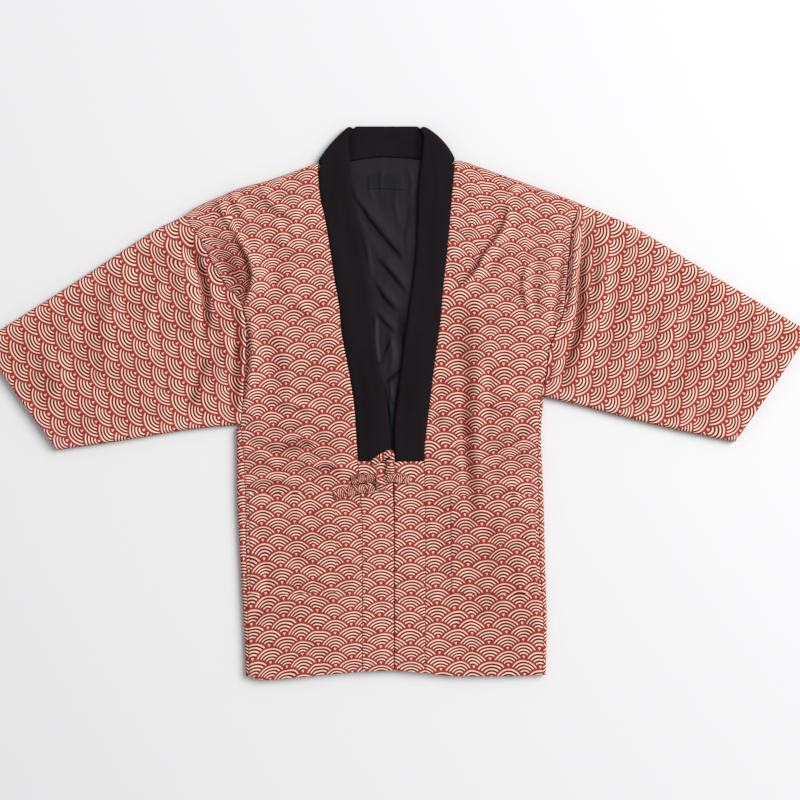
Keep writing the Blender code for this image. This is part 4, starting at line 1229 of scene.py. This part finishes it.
lining = {
    "reach": 16.0,
    "top": [(-90, 385.2), (-72, 387.5), (-40, 392.6), (-20, 394.1), (8, 392.9), (40, 390.3), (58, 388.6)],
    "base": 6.8,
    "thick": 1.2,
    "slack": 0.7,
    "most": 4.0,  # so that the cloth stays below the neck opening
    "folds": [
        ((-65.6, 341.6), (-62.4, 330.4), (-48, 309.6), (-36.8, 293.6), (-16, 268), (-3.2, 253.6),
         (9.6, 237.6), 3.3, 26, 2.2),
        ((-59, 319), (-40, 290), (-19, 265), -1.2, 1.8, 2.2),
        ((-24, 231), (-8, 214), (16, 183), 3.0, 22, 2.2),
        ((-27, 190), (-16, 172), (1.6, 153), 2.8, 18, 2.2),
        ((-27, 146), (-17.6, 134), (-1.6, 118), 2.4, 12, 2.2),
        ((-31, 138), (-31, 100), (-27, 62), 2.6, 6, 6),
        ((-9, 108), (-3, 78), (-6, 48), 2.8, 10, 9),
        ((-8, 34), (-6, 20), (-6, 6), 2.0, 5, 5),
        ((-8, 2), (-7, -16), (-7, -32), 1.6, 4, 4),
        ((-14, 84), (-21, 66), (-31, 57), -1.8, 2.4, 2.6),
        ((-17, 33), (-5, 41), (9, 53), -2.0, 3, 3),
        ((13, 130), (13, 112), (10, 94), -1.6, 4, 4),
        ((-20, 376), (-23, 358), (-21, 338), 1.0, 4, 4),
        ((22, 378), (27, 352), (22, 322), 1.1, 5, 6),
        ((2, 346), (0, 320), (6, 290), 1.0, 6, 7),
        ((-40, 350), (-38, 332), (-28, 316), 0.9, 5, 6),
        ((24, 300), (18, 262), (20, 232), 1.1, 7, 6),
        ((-48, 268), (-42, 236), (-38, 206), 1.2, 6, 7),
    ],
    # painted shade along the creases and down the slit between the collar's legs, and painted highlights
    # where the strength is below nothing
    "shades": [
        ((-67.5, 340), (-64.5, 329), (-50, 308), (-39, 292), (-18, 266.5), (-5, 252), (8, 236),
         1.0, 2.2, 3.4, 0.6),
        ((-61, 318), (-42, 288), (-21, 263), 0.85, 1.8, 2.2, 0.6),
        ((-16, 264), (-2, 248), (11, 233), 1.0, 4, 5, 0.6),
        ((-28, 232), (-10, 212), (16, 180), 1.0, 3, 4.5, 0.6),
        ((-31, 192), (-18, 170), (2, 148), 1.0, 3.5, 5, 0.6),
        ((-30, 145), (-19.5, 132), (-2, 115), 0.95, 2.5, 3.5, 0.6),
        ((-4, 112), (-14, 86), (-24, 66), (-33, 54), 0.95, 3, 3.5, 0.6),
        ((-19, 31), (-5, 41), (11, 56), 1.0, 4.5, 5, 0.6),
        ((14, 146), (11, 118), (14, 84), 1.0, 8, 10, 0.6),
        ((-19, 34), (-13, 8), (-10, -32), 0.9, 4, 4, 0.6),
        ((7, 40), (2, 8), (-3, -34), 0.9, 4, 4, 0.6),
        ((-14, 6), (-7, -2), (2, 6), 0.8, 3, 3, 0.6),
        ((-8, 0), (-6, -50), (-4, -150), 1.0, 8, 8, 0.6),
        ((-36, 146), (-36, 100), (-32, 56), 0.9, 3, 4, 0.6),
        ((-66, 330), (-56, 280), (-44, 226), 0.5, 5, 6),
        ((26, 340), (24, 300), (20, 240), 0.35, 6, 8),
        ((-29, 134), (-29, 100), (-26, 66), -1.0, 5, 5, 0.6),
        ((-5, 104), (-3, 78), (-7, 50), -0.7, 8, 8, 0.6),
        ((-7, 28), (-6, 20), (-6, 10), -0.7, 3.5, 3.5, 0.6),
        ((-52, 326), (-30, 298), (-4, 266), -0.35, 8, 5),
        ((-58, 300), (-40, 272), (-24, 250), -0.45, 5, 6),
        ((-12, 226), (4, 208), (20, 188), -0.4, 8, 4),
        ((-18, 186), (-6, 172), (8, 156), -0.3, 7, 4),
        ((-44, 380), (-40, 350), (-34, 330), -0.25, 8, 8),
        ((10, 340), (12, 300), (10, 262), -0.2, 10, 10),
    ],
    "flat": (0.115, 0.47),
    "area": 0.042,
}
label = {
    "rows": (0.895, 0.944),  # shares of the lining's height
    "columns": (0.31, 0.725),
    "thick": 0.8,
    "flat": (0.052, 0.024),
}


def makeLining():
    reach = lining["reach"]
    right = smoothLine(freeEdge["right"][:-1], 190) + (-reach, 0)
    left = smoothLine(freeEdge["left"][:-1], 190) + (reach, 0)
    right[-1], left[-1] = lining["top"][0], lining["top"][-1]
    lower = smoothLine([tuple(right[0]), tuple(left[0])], 64)
    upper = smoothLine(lining["top"], 64)
    grid = coonsGrid(right, left, lower, upper)
    inside = rounding(edgeDistance(grid) - 8, 10)
    wrinkle = unevenness(grid * (1, 0.5), 8, 95) * 0.12 + unevenness(grid * (1, 0.7), 18, 96) * 0.35
    rise = (lining["slack"] + foldRise(grid, lining["folds"]) + wrinkle) * inside
    low = lining["base"] + np.clip(rise, 0, lining["most"])
    high = low + lining["thick"]
    shade = np.clip(foldRise(grid, lining["shades"]), -0.9, 0.98)
    piece = panel("liningCloth", grid, low, high, grid / fanRadius, liningDark, liningDark, shade)
    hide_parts("back_lining")
    rows, columns = np.meshgrid(
        np.linspace(*label["rows"], 22) * (grid.shape[0] - 1),
        np.linspace(*label["columns"], 44) * (grid.shape[1] - 1), indexing="ij")
    patch = gridSample(grid, rows, columns)
    ground = gridSample(high, rows, columns) + garment["gap"]
    top = ground + label["thick"] * (0.4 + 0.6 * rounding(edgeDistance(patch), 1.2))
    plain = np.zeros(top.shape)
    piece = panel("labelCloth", patch, ground, top, patch / fanRadius, labelBare, labelBare, plain)
    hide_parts("label")
    return patch, top


makeCollar()
label["made"] = makeLining()
print("collar, lining and label are ready")


tie = {
    "tie_loop": {
        "path": [
            (-37, -96.5, 17.4), (-26, -89, 19.2), (-15, -82.2, 19.8), (-8, -78.8, 19.6), (-5, -81, 19),
            (-5, -91, 17.4),
        ],
        "widths": (10, 12, 12, 11, 8.5, 8.5), "thick": 1.9, "flat": (0.012, 0.05), "scale": 24, "seed": 101,
    },
    "tie_post": {
        "path": [(-7.2, -89, 17.8), (-7.4, -102, 20.0), (-7.8, -114, 17.4)],
        "widths": (12, 14, 13), "thick": 2.4, "flat": (0.0145, 0.026), "scale": 22, "seed": 102,
    },
    "tie_knot": {
        "path": [(-22.5, -112.5, 17.8), (-22.5, -126, 21.4), (-22.5, -139, 17.8)],
        "widths": (15, 18, 15), "thick": 2.8, "flat": (0.018, 0.0285), "scale": 22, "seed": 103,
    },
    "tie_tail_upper": {
        "path": [(-31, -120.5, 17.4), (-48, -119, 18.6), (-70, -122.5, 16.9)],
        "widths": (12, 16, 15), "thick": 2.1, "flat": (0.016, 0.039), "scale": 14, "seed": 104,
        # painted shade over the whole tail, where it lies scrunched
        "dark": 0.3,
    },
    "tie_tail_lower": {
        "path": [(-32, -138, 17.3), (-54, -136.5, 18.4), (-76, -140, 18.0), (-98, -145, 19.2)],
        "widths": (12, 14, 16, 15), "thick": 2.1, "flat": (0.0155, 0.068), "scale": 17, "seed": 105,
        # painted shade over the whole tail
        "dark": 0.1,
    },
    "tie_tail_left": {
        "path": [(-14, -120.5, 17.3), (2, -118.5, 18.6), (24, -122, 17.3)],
        "widths": (11, 15, 15), "thick": 2.1, "flat": (0.015, 0.039), "scale": 15, "seed": 106,
    },
}


def makeTie(name, plan):
    line = smoothLine(plan["path"], 40)
    reached = lengths(line)
    steps = np.gradient(line, axis=0)
    widths = np.interp(np.linspace(0, 1, 41), np.linspace(0, 1, len(plan["widths"])), plan["widths"])
    around = np.linspace(0, 1, 49)
    turns = np.linspace(0, 2 * np.pi, 49)[:-1]
    a = np.sign(np.cos(turns)) * np.abs(np.cos(turns)) ** 0.7
    oval = np.sign(np.sin(turns)) * np.abs(np.sin(turns)) ** 0.7
    sections, spots, shades = [], [], []
    for point, ahead, along, width in zip(line, steps, reached, widths):
        across = np.array([-ahead[1], ahead[0], 0])
        across /= np.linalg.norm(across)
        lift = np.cross(ahead, across)
        lift *= np.sign(lift[2]) / np.linalg.norm(lift)
        crease = np.cos(a * 6 + plan["seed"] + along * 0.25) * np.cos(along * 0.42 + a * 3)
        b = oval * (1 + 0.45 * crease * (1 - a**2))
        endRound = 0.7 + 0.3 * rounding(min(along, reached[-1] - along), 2)
        wobble = 0.3 * math.sin(along * 0.4 + plan["seed"]) + 0.12 * math.sin(along * 1.1 + plan["seed"] * 2)
        # painted shade: darker in the creases' hollows on top and towards the band's turned edges, with the
        # tail's own painted shade added
        creaseShade = np.clip(0.12 - 0.6 * crease, 0, 0.6) * (b > 0)
        shades.append(creaseShade + 0.35 * np.abs(a) ** 6 + plan.get("dark", 0))
        ring = point + np.outer(a * (width / 2 + wobble) * endRound, across)
        ring = ring + np.outer(b * plan["thick"] / 2 * endRound, lift)
        sections.append(ring)
        girth = around * width * 2.1
        spots.append(np.column_stack([girth, np.full(49, along)]) / plan["scale"] + plan["seed"] * 0.37)
    piece = loft(name.replace("tie_", "tieCloth."), sections, spots, wavePrint, shades)
    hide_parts(name)


for name, plan in tie.items():
    makeTie(name, plan)
print("tie is ready")


stitching = {
    "label": {"spacing": 2.2, "length": 1.5, "thick": 0.3, "inset": 1.0},
    "pocket": {"spacing": 4.4, "length": 1.6, "thick": 0.45, "inset": 1.6},
}


def stitchTree():
    tree = bpy.data.node_groups.new("stitches", "GeometryNodeTree")
    face = tree.interface
    face.new_socket("Geometry", in_out="INPUT", socket_type="NodeSocketGeometry")
    for name in ("Spacing", "Length", "Thickness"):
        face.new_socket(name, in_out="INPUT", socket_type="NodeSocketFloat")
    face.new_socket("Thread", in_out="INPUT", socket_type="NodeSocketMaterial")
    face.new_socket("Geometry", in_out="OUTPUT", socket_type="NodeSocketGeometry")
    nodes, links = tree.nodes, tree.links
    given = nodes.new("NodeGroupInput")
    result = nodes.new("NodeGroupOutput")
    curve = nodes.new("GeometryNodeMeshToCurve")
    spaced = nodes.new("GeometryNodeResampleCurve")
    spaced.mode = "LENGTH"
    tangent = nodes.new("GeometryNodeInputTangent")
    turned = nodes.new("FunctionNodeAlignRotationToVector")
    turned.axis = "Z"
    bead = nodes.new("GeometryNodeMeshUVSphere")
    bead.inputs["Segments"].default_value = 8
    bead.inputs["Rings"].default_value = 6
    bead.inputs["Radius"].default_value = 0.5
    size = nodes.new("ShaderNodeCombineXYZ")
    placed = nodes.new("GeometryNodeInstanceOnPoints")
    real = nodes.new("GeometryNodeRealizeInstances")
    dyed = nodes.new("GeometryNodeSetMaterial")
    wires = [
        (given, "Geometry", curve, 0), (curve, 0, spaced, "Curve"), (given, "Spacing", spaced, "Length"),
        (tangent, 0, turned, "Vector"), (given, "Thickness", size, 0), (given, "Thickness", size, 1),
        (given, "Length", size, 2), (spaced, 0, placed, "Points"), (bead, "Mesh", placed, "Instance"),
        (turned, 0, placed, "Rotation"), (size, 0, placed, "Scale"), (placed, 0, real, 0),
        (real, 0, dyed, "Geometry"), (given, "Thread", dyed, "Material"), (dyed, 0, result, 0),
    ]
    for source, out, target, into in wires:
        links.new(source.outputs[out], target.inputs[into])
    return tree


stitches = stitchTree()


def sew(name, lines, plan, thread):
    # a row of stitches along each line of points
    points, edges = [], []
    for line in lines:
        first = len(points)
        points += [tuple(p) for p in np.asarray(line) * mm]
        edges += [(first + k, first + k + 1) for k in range(len(line) - 1)]
    mesh = bpy.data.meshes.new(name + "Path")
    mesh.from_pydata(points, edges, [])
    path = bpy.data.objects.new(name + "Path", mesh)
    scene.collection.objects.link(path)
    modifier = path.modifiers.new("stitches", "NODES")
    modifier.node_group = stitches
    values = {
        "Spacing": plan["spacing"] * mm, "Length": plan["length"] * mm,
        "Thickness": plan["thick"] * mm, "Thread": thread,
    }
    for item in stitches.interface.items_tree:
        if item.in_out == "INPUT" and item.name in values:
            modifier[item.identifier] = values[item.name]
    ready = path.evaluated_get(bpy.context.evaluated_depsgraph_get())
    sewn = bpy.data.meshes.new_from_object(ready)
    bpy.data.objects.remove(path, do_unlink=True)
    if not sewn.materials:
        sewn.materials.append(thread)
    piece = bpy.data.objects.new(name, sewn)
    scene.collection.objects.link(piece)
    sewn.shade_smooth()
    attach(piece, "root")


def insetLines(patch, top, inset, sides):
    # lines on a patch's top, a little inside the named sides
    solid = np.dstack([patch, top])
    rows = lengths(patch[:, patch.shape[1] // 2])
    columns = lengths(patch[patch.shape[0] // 2])
    r = np.interp([inset, rows[-1] - inset], rows, np.arange(len(rows)))
    c = np.interp([inset, columns[-1] - inset], columns, np.arange(len(columns)))
    across = np.linspace(c[0], c[1], 60)
    upward = np.linspace(r[0], r[1], 60)
    lines = {
        "low": gridSample(solid, np.full(60, r[0]), across),
        "high": gridSample(solid, np.full(60, r[1]), across),
        "inner": gridSample(solid, upward, np.full(60, c[0])),
        "outer": gridSample(solid, upward, np.full(60, c[1])),
    }
    return [lines[s] for s in sides]


lines = insetLines(*label["made"], stitching["label"]["inset"], ("low", "high", "inner", "outer"))
sew("labelStitches", lines, stitching["label"], blackThread)
for side in ("right", "left"):
    lines = insetLines(*pockets[side]["made"], stitching["pocket"]["inset"], ("low", "inner", "outer"))
    sew(side + "PocketStitches", lines, stitching["pocket"], redThread)
print("stitches are sewn")
